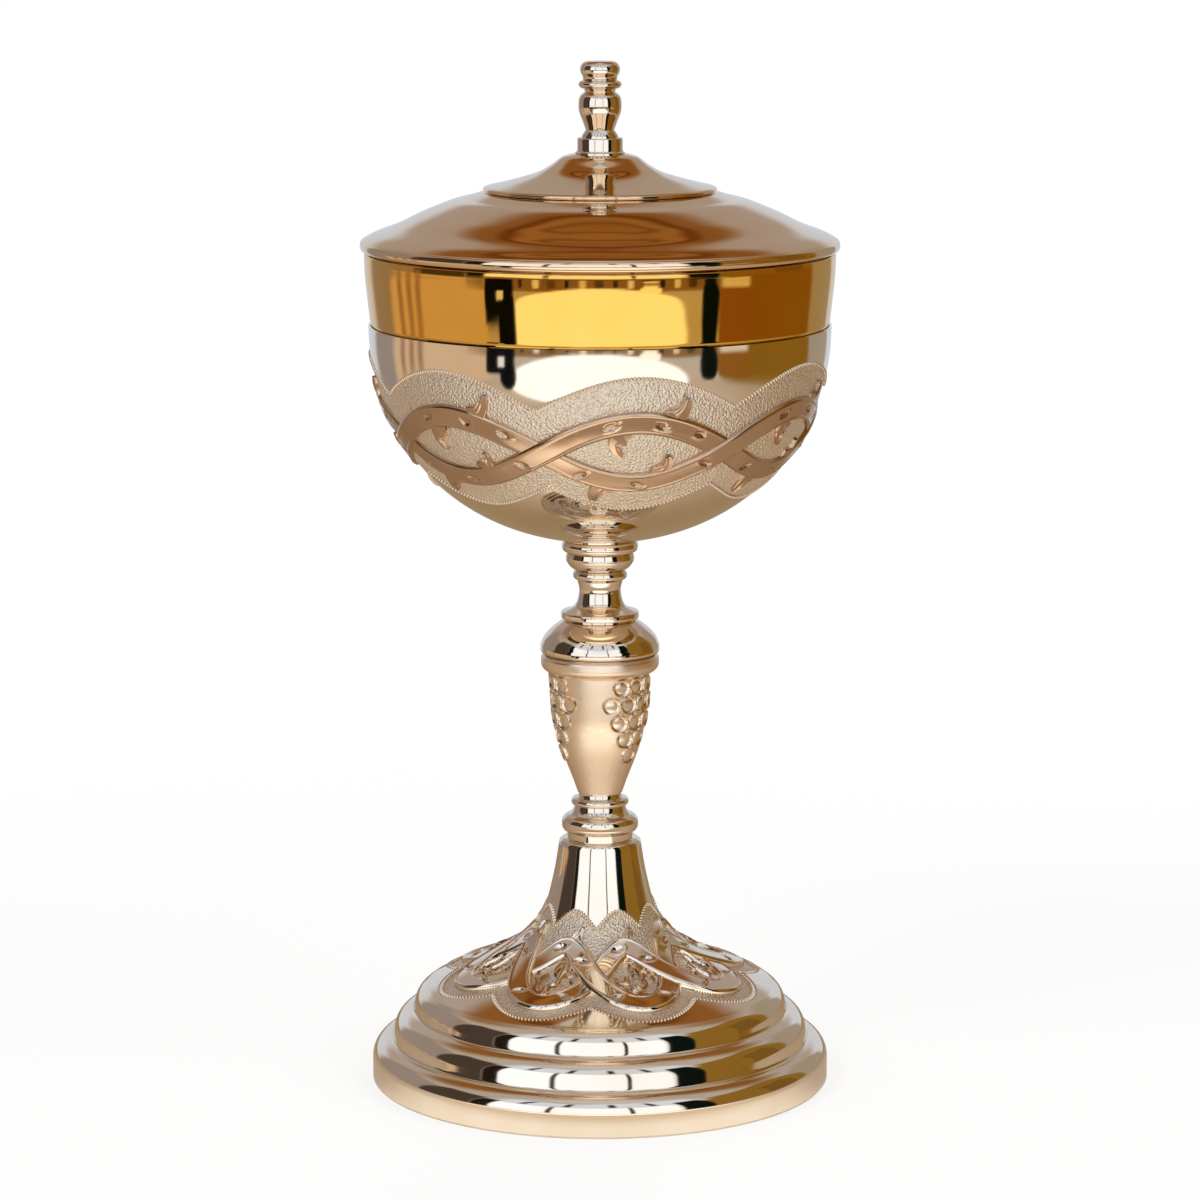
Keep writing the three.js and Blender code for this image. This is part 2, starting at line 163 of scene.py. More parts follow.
def bead(root: float, crest: float, low: float, high: float, steps: int = 14) -> Line:
    """Draws a rounded bead that stands out from one radius to another, from below upward.

    Args:
        root: Radius at the bead's two ends.
        crest: Radius at its middle.
        low: Its lower height.
        high: Its upper height.
        steps: Straight steps along it.

    Returns:
        The bead's points.
    """
    turns = np.linspace(0.0, math.pi, steps + 1)
    middle, half = (low + high) / 2, (high - low) / 2
    return [(root + (crest - root) * math.sin(t), middle - half * math.cos(t)) for t in turns]


def flowing(shape: Line, first: tuple[float, float], last: tuple[float, float], steps: int) -> Line:
    """Draws a smooth line through a shape between two points.

    Args:
        shape: Shares of the way from first to last, in radius and in height.
        first: Where the line starts.
        last: Where it ends.
        steps: Straight steps along it.

    Returns:
        The line's points.
    """
    start, end = np.array(first), np.array(last)
    knots = start + (end - start) * np.array(shape)
    knots = np.vstack([knots[0], knots, knots[-1]])
    line = []
    for place in np.linspace(0.0, len(shape) - 1, steps + 1):
        index = min(int(place), len(shape) - 2)
        t = place - index
        before, here, after, beyond = knots[index:index + 4]
        bend_out, bend_in = (after - before) / 2, (beyond - here) / 2
        point = (2 * here - 2 * after + bend_out + bend_in) * t ** 3
        point = point + (3 * after - 3 * here - 2 * bend_out - bend_in) * t ** 2 + bend_out * t + here
        line.append((float(point[0]), float(point[1])))
    return line


def inset(line: Line, wall: float) -> Line:
    """Moves a line in by a wall, square to itself, for the inside of a sheet.

    Args:
        line: Points that run up the outside.
        wall: The sheet's thickness.

    Returns:
        As many points, on the inside.
    """
    points = np.array(line)
    run = np.gradient(points, axis=0)
    size = np.hypot(run[:, 0], run[:, 1])
    inner = points + wall * np.stack([-run[:, 1], run[:, 0]], axis=1) / size[:, None]
    return [(float(radius), float(height)) for radius, height in inner]


def level(node: str, top: bool = False) -> float:
    """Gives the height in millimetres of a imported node's lowest or highest point."""
    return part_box(node)[1 if top else 0][2] / MM


def apply_tree(item: Item, tree: Tree, values: dict) -> None:
    """Runs a Geometry Nodes tree on an object and keeps what it makes as a plain mesh.

    Args:
        item: The object that carries the starting mesh.
        tree: The tree.
        values: The tree's named inputs.
    """
    modifier = item.modifiers.new(tree.name, "NODES")
    modifier.node_group = tree
    for socket in tree.interface.items_tree:
        if socket.name in values:
            modifier[socket.identifier] = values[socket.name]
    depsgraph = bpy.context.evaluated_depsgraph_get()
    made = bpy.data.meshes.new_from_object(item.evaluated_get(depsgraph))
    item.modifiers.clear()
    start = item.data
    item.data = made
    made.name = item.name
    bpy.data.meshes.remove(start)


def new_piece(name: str, points: np.ndarray, edges: list, faces: list) -> Item:
    """Makes an object at the origin of the frame.

    Args:
        name: The object's name.
        points: Points in metres, one to a row.
        edges: Pairs of point numbers, for an object without faces.
        faces: Point numbers of each face.

    Returns:
        The new object.
    """
    mesh = bpy.data.meshes.new(name)
    mesh.from_pydata(points.tolist(), edges, faces)
    item = bpy.data.objects.new(name, mesh)
    bpy.context.scene.collection.objects.link(item)
    return item


def finish_mesh(item: Item, crease: float = 35.0) -> None:
    """Turns all faces outward and smooths them.

    Args:
        item: The piece.
        crease: The angle in degrees past which an edge stays sharp.
    """
    work = bmesh.new()
    work.from_mesh(item.data)
    bmesh.ops.recalc_face_normals(work, faces=work.faces)
    work.to_mesh(item.data)
    work.free()
    item.data.shade_smooth()
    item.data.set_sharp_from_angle(angle=math.radians(crease))


def grid_faces(rows: int, columns: int, close_rows: bool, close_columns: bool) -> list[Quad]:
    """Lists the four-sided faces of a grid of points.

    Args:
        rows: Rows of points.
        columns: Points in a row.
        close_rows: Whether the last row joins the first.
        close_columns: Whether each row is a ring.

    Returns:
        Point numbers of each face.
    """
    faces = []
    for row in range(rows if close_rows else rows - 1):
        here, there = row * columns, (row + 1) % rows * columns
        for column in range(columns if close_columns else columns - 1):
            after = (column + 1) % columns
            faces.append((here + column, here + after, there + after, there + column))
    return faces


def settle(item: Item, body: Body, slot: Slot, *nodes: str) -> None:
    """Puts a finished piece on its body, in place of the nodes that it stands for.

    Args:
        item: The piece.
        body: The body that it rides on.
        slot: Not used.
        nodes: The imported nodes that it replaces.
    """
    if nodes:
        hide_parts(*nodes)
    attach(item, body.value)
    log.info("%s: %d faces, on %s", item.name, len(item.data.polygons), body.value)


class Skin:
    """The outside of a turned piece, which ornament is laid on."""

    def __init__(self, line: Line, samples: int = 1600) -> None:
        """Measures a line that runs down the outside.

        Args:
            line: Its points, from the top edge.
            samples: The number of places at which it is measured.
        """
        points = np.array(line)
        run = np.concatenate([[0.0], np.cumsum(np.hypot(*np.diff(points, axis=0).T))])
        self.length = float(run[-1])
        self.down = np.linspace(0.0, self.length, samples)
        self.radii = np.interp(self.down, run, points[:, 0])
        self.heights = np.interp(self.down, run, points[:, 1])
        outward, upward = -np.gradient(self.heights), np.gradient(self.radii)
        size = np.hypot(outward, upward)
        self.outward, self.upward = outward / size, upward / size

    def radius(self, along: np.ndarray) -> np.ndarray:
        """Gives the radius at a distance down the skin."""
        return np.interp(along, self.down, self.radii)

    def place(self, angle: np.ndarray, along: np.ndarray, lift: np.ndarray | float) -> np.ndarray:
        """Finds points on or over the skin.

        Args:
            angle: Angles from the front, in radians.
            along: Distances down the skin.
            lift: Heights over the skin, square to it.

        Returns:
            Points in metres, with the three coordinates last.
        """
        radius = self.radius(along) + lift * np.interp(along, self.down, self.outward)
        height = np.interp(along, self.down, self.heights) + lift * np.interp(along, self.down, self.upward)
        return np.stack([radius * np.sin(angle), -radius * np.cos(angle), height], axis=-1) * MM

    def normal(self, angle: np.ndarray, along: np.ndarray) -> np.ndarray:
        """Gives the outward direction at places on the skin.

        Args:
            angle: Angles from the front, in radians.
            along: Distances down the skin.

        Returns:
            Unit directions, with the three coordinates last.
        """
        out = np.interp(along, self.down, self.outward)
        up = np.interp(along, self.down, self.upward)
        return np.stack([out * np.sin(angle), -out * np.cos(angle), up], axis=-1)


class Workshop:
    """The Geometry Nodes trees that turn, repeat and bead."""

    def __init__(self) -> None:
        """Builds the three trees."""
        self.lathe = self._lathe()
        self.round_axis = self._round_axis()
        self.bead_row = self._bead_row()

    @staticmethod
    def _tree(name: str, inputs: dict[str, str]) -> tuple[Tree, Node, Node]:
        """Starts a tree with its named inputs and one geometry output.

        Args:
            name: The tree's name.
            inputs: Each input's name with its socket type.

        Returns:
            The tree, its input node and its output node.
        """
        tree = bpy.data.node_groups.new(name, "GeometryNodeTree")
        tree.interface.new_socket("Geometry", in_out="OUTPUT", socket_type="NodeSocketGeometry")
        for label, kind in {"Geometry": "NodeSocketGeometry", **inputs}.items():
            tree.interface.new_socket(label, in_out="INPUT", socket_type=kind)
        return tree, add_node(tree, "NodeGroupInput"), add_node(tree, "NodeGroupOutput")

    @staticmethod
    def _end(tree: Tree, start: Node, end: Node, made: bpy.types.NodeSocket) -> None:
        """Ends a tree: real geometry, doubles merged, with its finish set.

        Args:
            tree: The tree.
            start: Its input node.
            end: Its output node.
            made: The geometry that the tree has made.
        """
        real = add_node(tree, "GeometryNodeRealizeInstances", {0: made})
        merged = add_node(tree, "GeometryNodeMergeByDistance", {
            "Geometry": real.outputs[0],
            "Distance": DOUBLES_MM * MM,
        })
        dressed = add_node(tree, "GeometryNodeSetMaterial", {
            "Geometry": merged.outputs[0],
            "Material": start.outputs["Finish"],
        })
        tree.links.new(dressed.outputs[0], end.inputs[0])

    def _lathe(self) -> Tree:
        """Builds the tree that turns an outline about the vertical axis.

        Returns:
            A tree whose input mesh holds the outline as radius less Reach, and height downward.
        """
        tree, start, end = self._tree("Turn round the axis", {
            "Steps": "NodeSocketInt",
            "Reach": "NodeSocketFloat",
            "Finish": "NodeSocketMaterial",
        })
        outline = add_node(tree, "GeometryNodeMeshToCurve", {"Mesh": start.outputs["Geometry"]})
        circle = add_node(tree, "GeometryNodeCurvePrimitiveCircle", {
            "Resolution": start.outputs["Steps"],
            "Radius": start.outputs["Reach"],
        })
        swept = add_node(tree, "GeometryNodeCurveToMesh", {
            "Curve": circle.outputs["Curve"],
            "Profile Curve": outline.outputs["Curve"],
        })
        self._end(tree, start, end, swept.outputs["Mesh"])
        return tree

    def _round_axis(self) -> Tree:
        """Builds the tree that repeats one motif round the axis.

        Returns:
            A tree that takes the motif and its Count.
        """
        tree, start, end = self._tree("Repeat round the axis", {
            "Count": "NodeSocketInt",
            "Finish": "NodeSocketMaterial",
        })
        points = add_node(tree, "GeometryNodePoints", {"Count": start.outputs["Count"]})
        index = add_node(tree, "GeometryNodeInputIndex")
        turn = add_node(tree, "ShaderNodeMath", {0: math.tau, 1: start.outputs["Count"]}, operation="DIVIDE")
        angle = add_node(tree, "ShaderNodeMath", {
            0: index.outputs[0],
            1: turn.outputs[0],
        }, operation="MULTIPLY")
        rotation = add_node(tree, "FunctionNodeAxisAngleToRotation", {
            "Axis": (0.0, 0.0, 1.0),
            "Angle": angle.outputs[0],
        })
        copies = add_node(tree, "GeometryNodeInstanceOnPoints", {
            "Points": points.outputs[0],
            "Instance": start.outputs["Geometry"],
            "Rotation": rotation.outputs[0],
        })
        self._end(tree, start, end, copies.outputs[0])
        return tree

    def _bead_row(self) -> Tree:
        """Builds the tree that sets beads along a line at an even pitch.

        Returns:
            A tree that takes Pitch, Size along, across and out of the line, and a Twist in the skin.
        """
        tree, start, end = self._tree("Beads along a line", {
            "Pitch": "NodeSocketFloat",
            "Size": "NodeSocketVector",
            "Twist": "NodeSocketFloat",
            "Finish": "NodeSocketMaterial",
        })
        line = add_node(tree, "GeometryNodeMeshToCurve", {"Mesh": start.outputs["Geometry"]})
        spaced = add_node(tree, "GeometryNodeResampleCurve", {
            "Curve": line.outputs["Curve"],
            "Length": start.outputs["Pitch"],
        }, mode="LENGTH")
        tangent = add_node(tree, "GeometryNodeInputTangent")
        outward = add_node(tree, "GeometryNodeInputNamedAttribute", {
            "Name": "outward",
        }, data_type="FLOAT_VECTOR")
        ahead = add_node(tree, "FunctionNodeAlignRotationToVector", {"Vector": tangent.outputs[0]}, axis="X")
        upright = add_node(tree, "FunctionNodeAlignRotationToVector", {
            "Rotation": ahead.outputs[0],
            "Vector": outward.outputs["Attribute"],
        }, axis="Z", pivot_axis="X")
        twist = add_node(tree, "FunctionNodeAxisAngleToRotation", {
            "Axis": (0.0, 0.0, 1.0),
            "Angle": start.outputs["Twist"],
        })
        turned = add_node(tree, "FunctionNodeRotateRotation", {
            "Rotation": upright.outputs[0],
            "Rotate By": twist.outputs[0],
        }, rotation_space="LOCAL")
        ball = add_node(tree, "GeometryNodeMeshUVSphere", {"Segments": 8, "Rings": 5, "Radius": 0.5})
        beads = add_node(tree, "GeometryNodeInstanceOnPoints", {
            "Points": spaced.outputs["Curve"],
            "Instance": ball.outputs["Mesh"],
            "Rotation": turned.outputs[0],
            "Scale": start.outputs["Size"],
        })
        self._end(tree, start, end, beads.outputs[0])
        return tree

    def turn(self, name: str, outline: Line, finish: Finish, steps: int = 192) -> Item:
        """Turns an outline into a closed piece.

        Args:
            name: The piece's name.
            outline: Points that go round the section, or from the axis to the axis.
            finish: The material.
            steps: Straight steps round the axis.

        Returns:
            The turned piece.
        """
        reach = 70.0
        points = np.array([(radius - reach, -height, 0.0) for radius, height in outline]) * MM
        edges = [(index, index + 1) for index in range(len(outline) - 1)]
        if outline[0][0] > 0.0 or outline[-1][0] > 0.0:
            edges.append((len(outline) - 1, 0))
        item = new_piece(name, points, edges, [])
        apply_tree(item, self.lathe, {"Steps": steps, "Reach": reach * MM, "Finish": finish})
        finish_mesh(item)
        return item

    def repeat(self, item: Item, count: int, finish: Finish, crease: float = 60.0) -> None:
        """Repeats a motif round the axis, with doubles merged where copies meet."""
        apply_tree(item, self.round_axis, {"Count": count, "Finish": finish})
        finish_mesh(item, crease)

    def beads(self, name: str, skin: Skin, path: np.ndarray, spacing: Beading, finish: Finish) -> Item:
        """Sets a closed row of beads along a path on a skin.

        Args:
            name: The row's name.
            skin: What the beads sit on.
            path: Angle in radians and distance down the skin of each point.
            spacing: The beads' sizes.
            finish: The material.

        Returns:
            The row of beads.
        """
        angle, along = path
        points = skin.place(angle, along, spacing.lift)
        edges = [(index, (index + 1) % len(points)) for index in range(len(points))]
        item = new_piece(name, points, edges, [])
        outward = item.data.attributes.new("outward", "FLOAT_VECTOR", "POINT")
        outward.data.foreach_set("vector", skin.normal(angle, along).ravel())
        apply_tree(item, self.bead_row, {
            "Pitch": spacing.pitch * MM,
            "Size": tuple(size * MM for size in spacing.size),
            "Twist": math.radians(spacing.twist),
            "Finish": finish,
        })
        item.data.shade_smooth()
        return item


@dataclass(frozen=True)
class Beading:
    """A row of punched beads or ticks: pitch, size along, across and out, lift and twist in degrees."""

    pitch: float
    size: tuple[float, float, float]
    lift: float
    twist: float = 0.0


@dataclass(frozen=True)
class Spur:
    """A leaf tip that curls away from a strap.

    Its path bends from the first point toward the second and ends at the third, each a share of a
    repeat and a distance down. It flares out of the strap to its base width, narrows to its tip and
    ends round. Two raised crescents run along its hollow side, as high as the ridge.
    """

    path: tuple[tuple[float, float], tuple[float, float], tuple[float, float]]
    base: float
    tip: float
    ridge: float = 0.3
    flare_start: float = 0.35
    flare_power: float = 1.8
    round_start: float = 0.88
    round_length: float = 0.135
    flat_share: float = 0.92
    skirt_share: float = 1.06
    edge_lift: float = 0.3
    start_drop: float = 0.3
    end_drop: float = 0.2
    crests: tuple[float, float] = (0.22, 0.78)
    crest_spread: float = 0.16

    def mirrored(self, middle: float) -> Spur:
        """Gives the same spur turned half round about the middle of the eye."""
        turned = tuple((1.0 - share, 2.0 * middle - along) for share, along in self.path)
        return replace(self, path=turned)


@dataclass(frozen=True)
class Interlace:
    """Two straps that weave round a skin over a punched ground, between two scalloped borders.

    The straps cross at the cusps, and between them swing to each side of the middle, a distance down
    the skin. A border is its distance down at a cusp and how far it swells between cusps. Over and
    under say how far a strap rises or sinks at a crossing. A dent is a share of a repeat and a
    distance down.
    """

    repeats: int
    first_cusp: float
    middle: float
    high_swing: float
    low_swing: float
    width: float
    lift: float
    crown: float
    over: float
    under: float
    rising_on_top: bool
    high_border: tuple[float, float]
    low_border: tuple[float, float]
    sunk: float
    spurs: tuple[Spur, ...]
    dents: tuple[tuple[float, float], ...]
    root: float = 0.6
    shoulder: float = 0.4
    bevel: float = 0.3
    side_flare: float = 0.25
    side_rise: tuple[float, float] = (0.45, 0.86)
    rim: float = 0.14
    rim_inset: float = 0.25
    rim_spread: float = 0.22
    crossing_reach: float = 1.3
    crossing_hold: float = 0.45
    border_blend: float = 0.6
    dent_size: tuple[float, float] = (1.9, 0.85)
    dent_depth: float = 0.6
    dent_slant: float = 0.35
    dent_lip: float = 0.18
    dent_lip_place: float = 1.35
    dent_lip_spread: float = 0.28

    @property
    def turn(self) -> float:
        """The angle of one repeat, in radians."""
        return math.tau / self.repeats

    def angle(self, share: np.ndarray | float) -> np.ndarray:
        """Turns a share of the first repeat into an angle in radians."""
        return math.radians(self.first_cusp) + np.asarray(share) * self.turn

    def wave(self, angle: np.ndarray) -> np.ndarray:
        """Gives 0 at the cusps and 1 midway between them."""
        return np.abs(np.sin((angle - math.radians(self.first_cusp)) * self.repeats / 2.0))

    def borders(self, angle: np.ndarray) -> tuple[np.ndarray, np.ndarray]:
        """Gives the distances down the skin of the high and the low border."""
        wave = self.wave(angle)
        high, low = self.high_border, self.low_border
        return high[0] - high[1] * wave, low[0] + low[1] * wave

    def border_path(self, low: bool, steps: int = 900) -> np.ndarray:
        """Gives a border all the way round, as angles and distances down the skin."""
        angle = np.linspace(0.0, math.tau, steps, endpoint=False)
        return np.stack([angle, self.borders(angle)[1 if low else 0]])

    def ground(self, angle: np.ndarray, along: np.ndarray) -> np.ndarray:
        """Gives 1 on the punched ground and 0 on the polish."""
        high, low = self.borders(angle)
        below_high = smooth_step((along - high) / self.border_blend)
        return below_high * smooth_step((low - along) / self.border_blend)

    def strap(self, skin: Skin, upper: bool, steps: int = 170) -> tuple[np.ndarray, int]:
        """Lays one strap across one repeat, on the upper or the lower side of the eye.

        Args:
            skin: What the strap lies on.
            upper: Whether this is the upper side.
            steps: Points along the strap.

        Returns:
            The strap's points in metres, row by row, and the number in a row.
        """
        share = np.linspace(0.0, 1.0, steps)
        swing = -self.high_swing if upper else self.low_swing
        angle, along = self.angle(share), self.middle + swing * np.sin(math.pi * share)
        aside = self._directions(skin, angle, along)[1]
        half = self.width / 2.0
        inner = np.sin(np.linspace(-1.0, 1.0, 21) * math.pi / 2.0) * (half - self.shoulder)
        side = np.array([half + self.side_flare, half, half - self.bevel * self.shoulder])
        offsets = np.concatenate([-side, inner, side[::-1]])
        from_rim = np.abs(inner) - half + self.shoulder + self.rim_inset
        top = self.lift + self.crown * (1.0 - (inner / half) ** 2)
        top = top + self.rim * np.exp(-(from_rim / self.rim_spread) ** 2)
        climb = np.array([-self.root, self.side_rise[0] * self.lift, self.side_rise[1] * self.lift])
        lifts = np.concatenate([climb, top, climb[::-1]])
        row_angle, row_along = self._aside(skin, angle, along, aside, offsets)
        rises_first = upper == self.rising_on_top
        reach = self.width * self.crossing_reach
        hold = reach * self.crossing_hold
        travelled = self._travelled(skin, angle, along)
        near_start = 1.0 - smooth_step((travelled - hold) / reach)
        near_end = 1.0 - smooth_step((travelled[-1] - travelled - hold) / reach)
        weave = near_start * (self.over if rises_first else -self.under)
        weave = weave + near_end * (-self.under if rises_first else self.over)
        lift = lifts[None, :] + weave[:, None] - self._dented(skin, row_angle, row_along, lifts)
        return skin.place(row_angle, row_along, lift), len(offsets)

    @staticmethod
    def _travelled(skin: Skin, angle: np.ndarray, along: np.ndarray) -> np.ndarray:
        """Measures the distance covered along a path on the skin."""
        radius = skin.radius(along)
        steps = np.hypot(np.diff(angle) * (radius[1:] + radius[:-1]) / 2.0, np.diff(along))
        return np.concatenate([[0.0], np.cumsum(steps)])

    @staticmethod
    def _directions(skin: Skin, angle: np.ndarray, along: np.ndarray) -> tuple[np.ndarray, np.ndarray]:
        """Gives the unit directions along a path and toward its upper side.

        Args:
            skin: What the path lies on.
            angle: The path's angles in radians.
            along: Its distances down the skin.

        Returns:
            The two directions at each point, each as parts across and down the skin.
        """
        run = np.stack([np.gradient(angle) * skin.radius(along), np.gradient(along)], axis=-1)
        ahead = run / np.linalg.norm(run, axis=-1, keepdims=True)
        return ahead, np.stack([ahead[:, 1], -ahead[:, 0]], axis=-1)

    @staticmethod
    def _aside(
        skin: Skin,
        angle: np.ndarray,
        along: np.ndarray,
        aside: np.ndarray,
        offsets: np.ndarray,
    ) -> tuple[np.ndarray, np.ndarray]:
        """Steps aside from a path.

        Args:
            skin: What the path lies on.
            angle: The path's angles in radians.
            along: Its distances down the skin.
            aside: The direction toward its upper side at each point.
            offsets: One row of steps for the whole path, or a row for each point.

        Returns:
            The angles and the distances down, with a row for each point of the path.
        """
        offsets = np.broadcast_to(offsets, (len(angle), offsets.shape[-1]))
        row_along = along[:, None] + offsets * aside[:, 1:2]
        row_angle = angle[:, None] + offsets * aside[:, 0:1] / skin.radius(row_along)
        return row_angle, row_along

    def _dented(self, skin: Skin, angle: np.ndarray, along: np.ndarray, lifts: np.ndarray) -> np.ndarray:
        """Sinks the small oval dents, each with a raised crescent along one side.

        Args:
            skin: What the strap lies on.
            angle: Angles of the strap's points.
            along: Their distances down the skin.
            lifts: Heights across the strap, which keep the dents off its sides.

        Returns:
            How far each point sinks.
        """
        sunk = np.zeros_like(along)
        long_way, short_way = self.dent_size
        for share, down in self.dents:
            across = (angle - self.angle(share)) * skin.radius(along)
            tall = along - down
            slope = -self.dent_slant if share < 0.5 else self.dent_slant
            first, second = across + slope * tall, tall - slope * across
            distance = np.hypot(first / long_way, second / short_way)
            pit = np.clip(1.0 - distance ** 2, 0.0, 1.0) ** 0.7
            lip = np.exp(-((distance - self.dent_lip_place) / self.dent_lip_spread) ** 2)
            lip = lip * smooth_step((second + first * 0.3) / short_way)
            sunk = sunk + self.dent_depth * pit - self.dent_lip * lip
        return sunk * (lifts > 0.8 * self.lift)[None, :]

    def curl(self, skin: Skin, spur: Spur, steps: int = 30) -> tuple[np.ndarray, int]:
        """Lays one spur on the skin.

        Args:
            skin: What the spur lies on.
            spur: Its path and widths.
            steps: Points along it.

        Returns:
            The spur's points in metres, row by row, and the number in a row.
        """
        t = np.linspace(0.0, 1.0, steps)[:, None]
        ends = np.array([(float(self.angle(share)), along) for share, along in spur.path])
        path = (1 - t) ** 2 * ends[0] + 2 * t * (1 - t) * ends[1] + t ** 2 * ends[2]
        angle, along = path[:, 0], path[:, 1]
        ahead, aside = self._directions(skin, angle, along)
        hollow = np.sign(ahead[0, 1] * ahead[-1, 0] - ahead[0, 0] * ahead[-1, 1])
        inner = np.linspace(-spur.flat_share, spur.flat_share, 33)
        shares = np.concatenate([[-spur.skirt_share, -1.0], inner, [1.0, spur.skirt_share]])
        flare = (1.0 - t) ** spur.flare_power * smooth_step(t / spur.flare_start)
        half = (spur.tip + (spur.base - spur.tip) * flare) / 2.0
        rounding = ((t - spur.round_start) / spur.round_length).clip(0.0)
        half = half * np.sqrt((1.0 - rounding ** 2).clip(0.02))
        row_angle, row_along = self._aside(skin, angle, along, aside, half * shares)
        crescents = sum(np.exp(-((inner * hollow - crest) / spur.crest_spread) ** 2) for crest in spur.crests)
        risen = smooth_step((t - 0.15) / 0.2)
        ridged = smooth_step((t - 0.35) / 0.3)
        ended = smooth_step((t - 0.8) / 0.2)
        top = self.lift + spur.start_drop * (risen - 1.0) + spur.ridge * ridged * crescents
        edge = np.broadcast_to([-self.root, spur.edge_lift], (steps, 2))
        lift = np.concatenate([edge, top * (1.0 - spur.end_drop * ended), edge[:, ::-1]], axis=1)
        return skin.place(row_angle, row_along, lift), len(shares)

    def motif(self, name: str, skin: Skin, straps: bool = True, spurs: bool = True) -> Item:
        """Builds one repeat of the straps, of the spurs or of both as one mesh.

        Args:
            name: The piece's name.
            skin: What the relief lies on.
            straps: Whether it holds the two straps.
            spurs: Whether it holds the spurs.

        Returns:
            The piece, with one repeat in it.
        """
        points, faces = [], []
        parts = [self.strap(skin, upper) for upper in (True, False) if straps]
        parts += [self.curl(skin, spur) for spur in self.spurs if spurs]
        for grid, columns in parts:
            first = sum(len(part) for part in points)
            rows = grid.shape[0]
            quads = grid_faces(rows, columns, False, False)
            faces += [tuple(first + corner for corner in quad) for quad in quads]
            points.append(grid.reshape(-1, 3))
        return new_piece(name, np.concatenate(points), [], faces)


def relief_sheet(
    name: str,
    skin: Skin,
    rows: np.ndarray,
    columns: int,
    interlace: Interlace,
    inside: Line,
    finish: Finish,
) -> Item:
    """Makes a thin sheet whose outside sinks to the ground of an interlace.

    Args:
        name: The piece's name.
        skin: The outside.
        rows: Distances down the skin of the outside rows.
        columns: Points round the axis.
        interlace: The ornament whose ground is sunk and marked.
        inside: The rest of the section, from the skin's lower end back to its top edge.
        finish: The material.

    Returns:
        The sheet, with the attribute ground.
    """
    angle = np.linspace(0.0, math.tau, columns, endpoint=False)
    grid_angle, grid_along = np.meshgrid(angle, rows)
    ground = interlace.ground(grid_angle, grid_along)
    outside = skin.place(grid_angle, grid_along, -interlace.sunk * ground)
    rest = np.array(inside)[:, None, :] * MM
    back = np.stack([
        rest[..., 0] * np.sin(angle),
        -rest[..., 0] * np.cos(angle),
        np.broadcast_to(rest[..., 1], (len(inside), columns)),
    ], axis=-1)
    points = np.concatenate([outside, back])
    item = new_piece(name, points.reshape(-1, 3), [], grid_faces(len(points), columns, True, True))
    mark = item.data.attributes.new("ground", "FLOAT", "POINT")
    mark.data.foreach_set("value", np.concatenate([ground.ravel(), np.zeros(len(inside) * columns)]))
    item.data.materials.append(finish)
    finish_mesh(item, crease=50.0)
    return item


@dataclass(frozen=True)
class MirrorPlate:
    """Buffed electroplate on spun or turned brass.

    It shows the room as a mirror does, softened by the buffing's faint haze and by a slow unevenness
    that is left from the spinning.
    """

    name: str
    colour: str
    shade: str
    roughness: float = 0.045
    haze_mm: float = 0.5
    haze_range: tuple[float, float] = (0.7, 1.5)
    haze_stretch: float = 0.004
    unevenness_mm: float = 14.0
    unevenness: float = 0.05

    def material(self) -> Finish:
        """Builds the material.

        Returns:
            A polished metal with no pattern that depends on the view.
        """
        made, tree = bare_material(self.name)
        shader = self._shader(tree)
        add_node(tree, "ShaderNodeOutputMaterial", {"Surface": shader.outputs[0]})
        return made

    def _shader(self, tree: Tree) -> Node:
        """Adds the metal's shader with its haze and its slow unevenness.

        Args:
            tree: The material's tree.

        Returns:
            The shader's node.
        """
        place = add_node(tree, "ShaderNodeTexCoord").outputs["Object"]
        slow = add_node(tree, "ShaderNodeTexNoise", {
            "Vector": place,
            "Scale": 1.0 / (self.unevenness_mm * MM),
            "Detail": 1.0,
        })
        bump = add_node(tree, "ShaderNodeBump", {
            "Strength": self.unevenness,
            "Distance": 1.0 * MM,
            "Height": slow.outputs["Fac"],
        })
        haze = self._buffing(tree, place)
        rough = add_node(tree, "ShaderNodeMapRange", {
            "Value": haze,
            "To Min": self.roughness * self.haze_range[0],
            "To Max": self.roughness * self.haze_range[1],
        })
        tint = add_node(tree, "ShaderNodeMix", {
            "Factor": slow.outputs["Fac"],
            "A": linear(self.colour),
            "B": linear(self.shade),
        }, data_type="RGBA")
        return add_node(tree, "ShaderNodeBsdfPrincipled", {
            "Base Color": tint.outputs["Result"],
            "Metallic": 1.0,
            "Roughness": rough.outputs["Result"],
            "Normal": bump.outputs["Normal"],
        })

    def _buffing(self, tree: Tree, place: bpy.types.NodeSocket) -> bpy.types.NodeSocket:
        """Adds buffing lines that run round the axis.

        Args:
            tree: The material's tree.
            place: Object coordinates.

        Returns:
            The lines' height, from 0 to 1.
        """
        parts = add_node(tree, "ShaderNodeSeparateXYZ", {0: place})
        level_part = add_node(tree, "ShaderNodeCombineXYZ", {0: parts.outputs[0], 1: parts.outputs[1]})
        radius = add_node(tree, "ShaderNodeVectorMath", {0: level_part.outputs[0]}, operation="LENGTH")
        angle = add_node(tree, "ShaderNodeMath", {
            0: parts.outputs[1],
            1: parts.outputs[0],
        }, operation="ARCTAN2")
        stretched = add_node(tree, "ShaderNodeMath", {
            0: angle.outputs[0],
            1: self.haze_stretch,
        }, operation="MULTIPLY")
        lines = add_node(tree, "ShaderNodeCombineXYZ", {
            0: stretched.outputs[0],
            1: radius.outputs["Value"],
            2: parts.outputs[2],
        })
        return add_node(tree, "ShaderNodeTexNoise", {
            "Vector": lines.outputs[0],
            "Scale": 1.0 / (self.haze_mm * MM),
            "Detail": 3.0,
        }).outputs["Fac"]


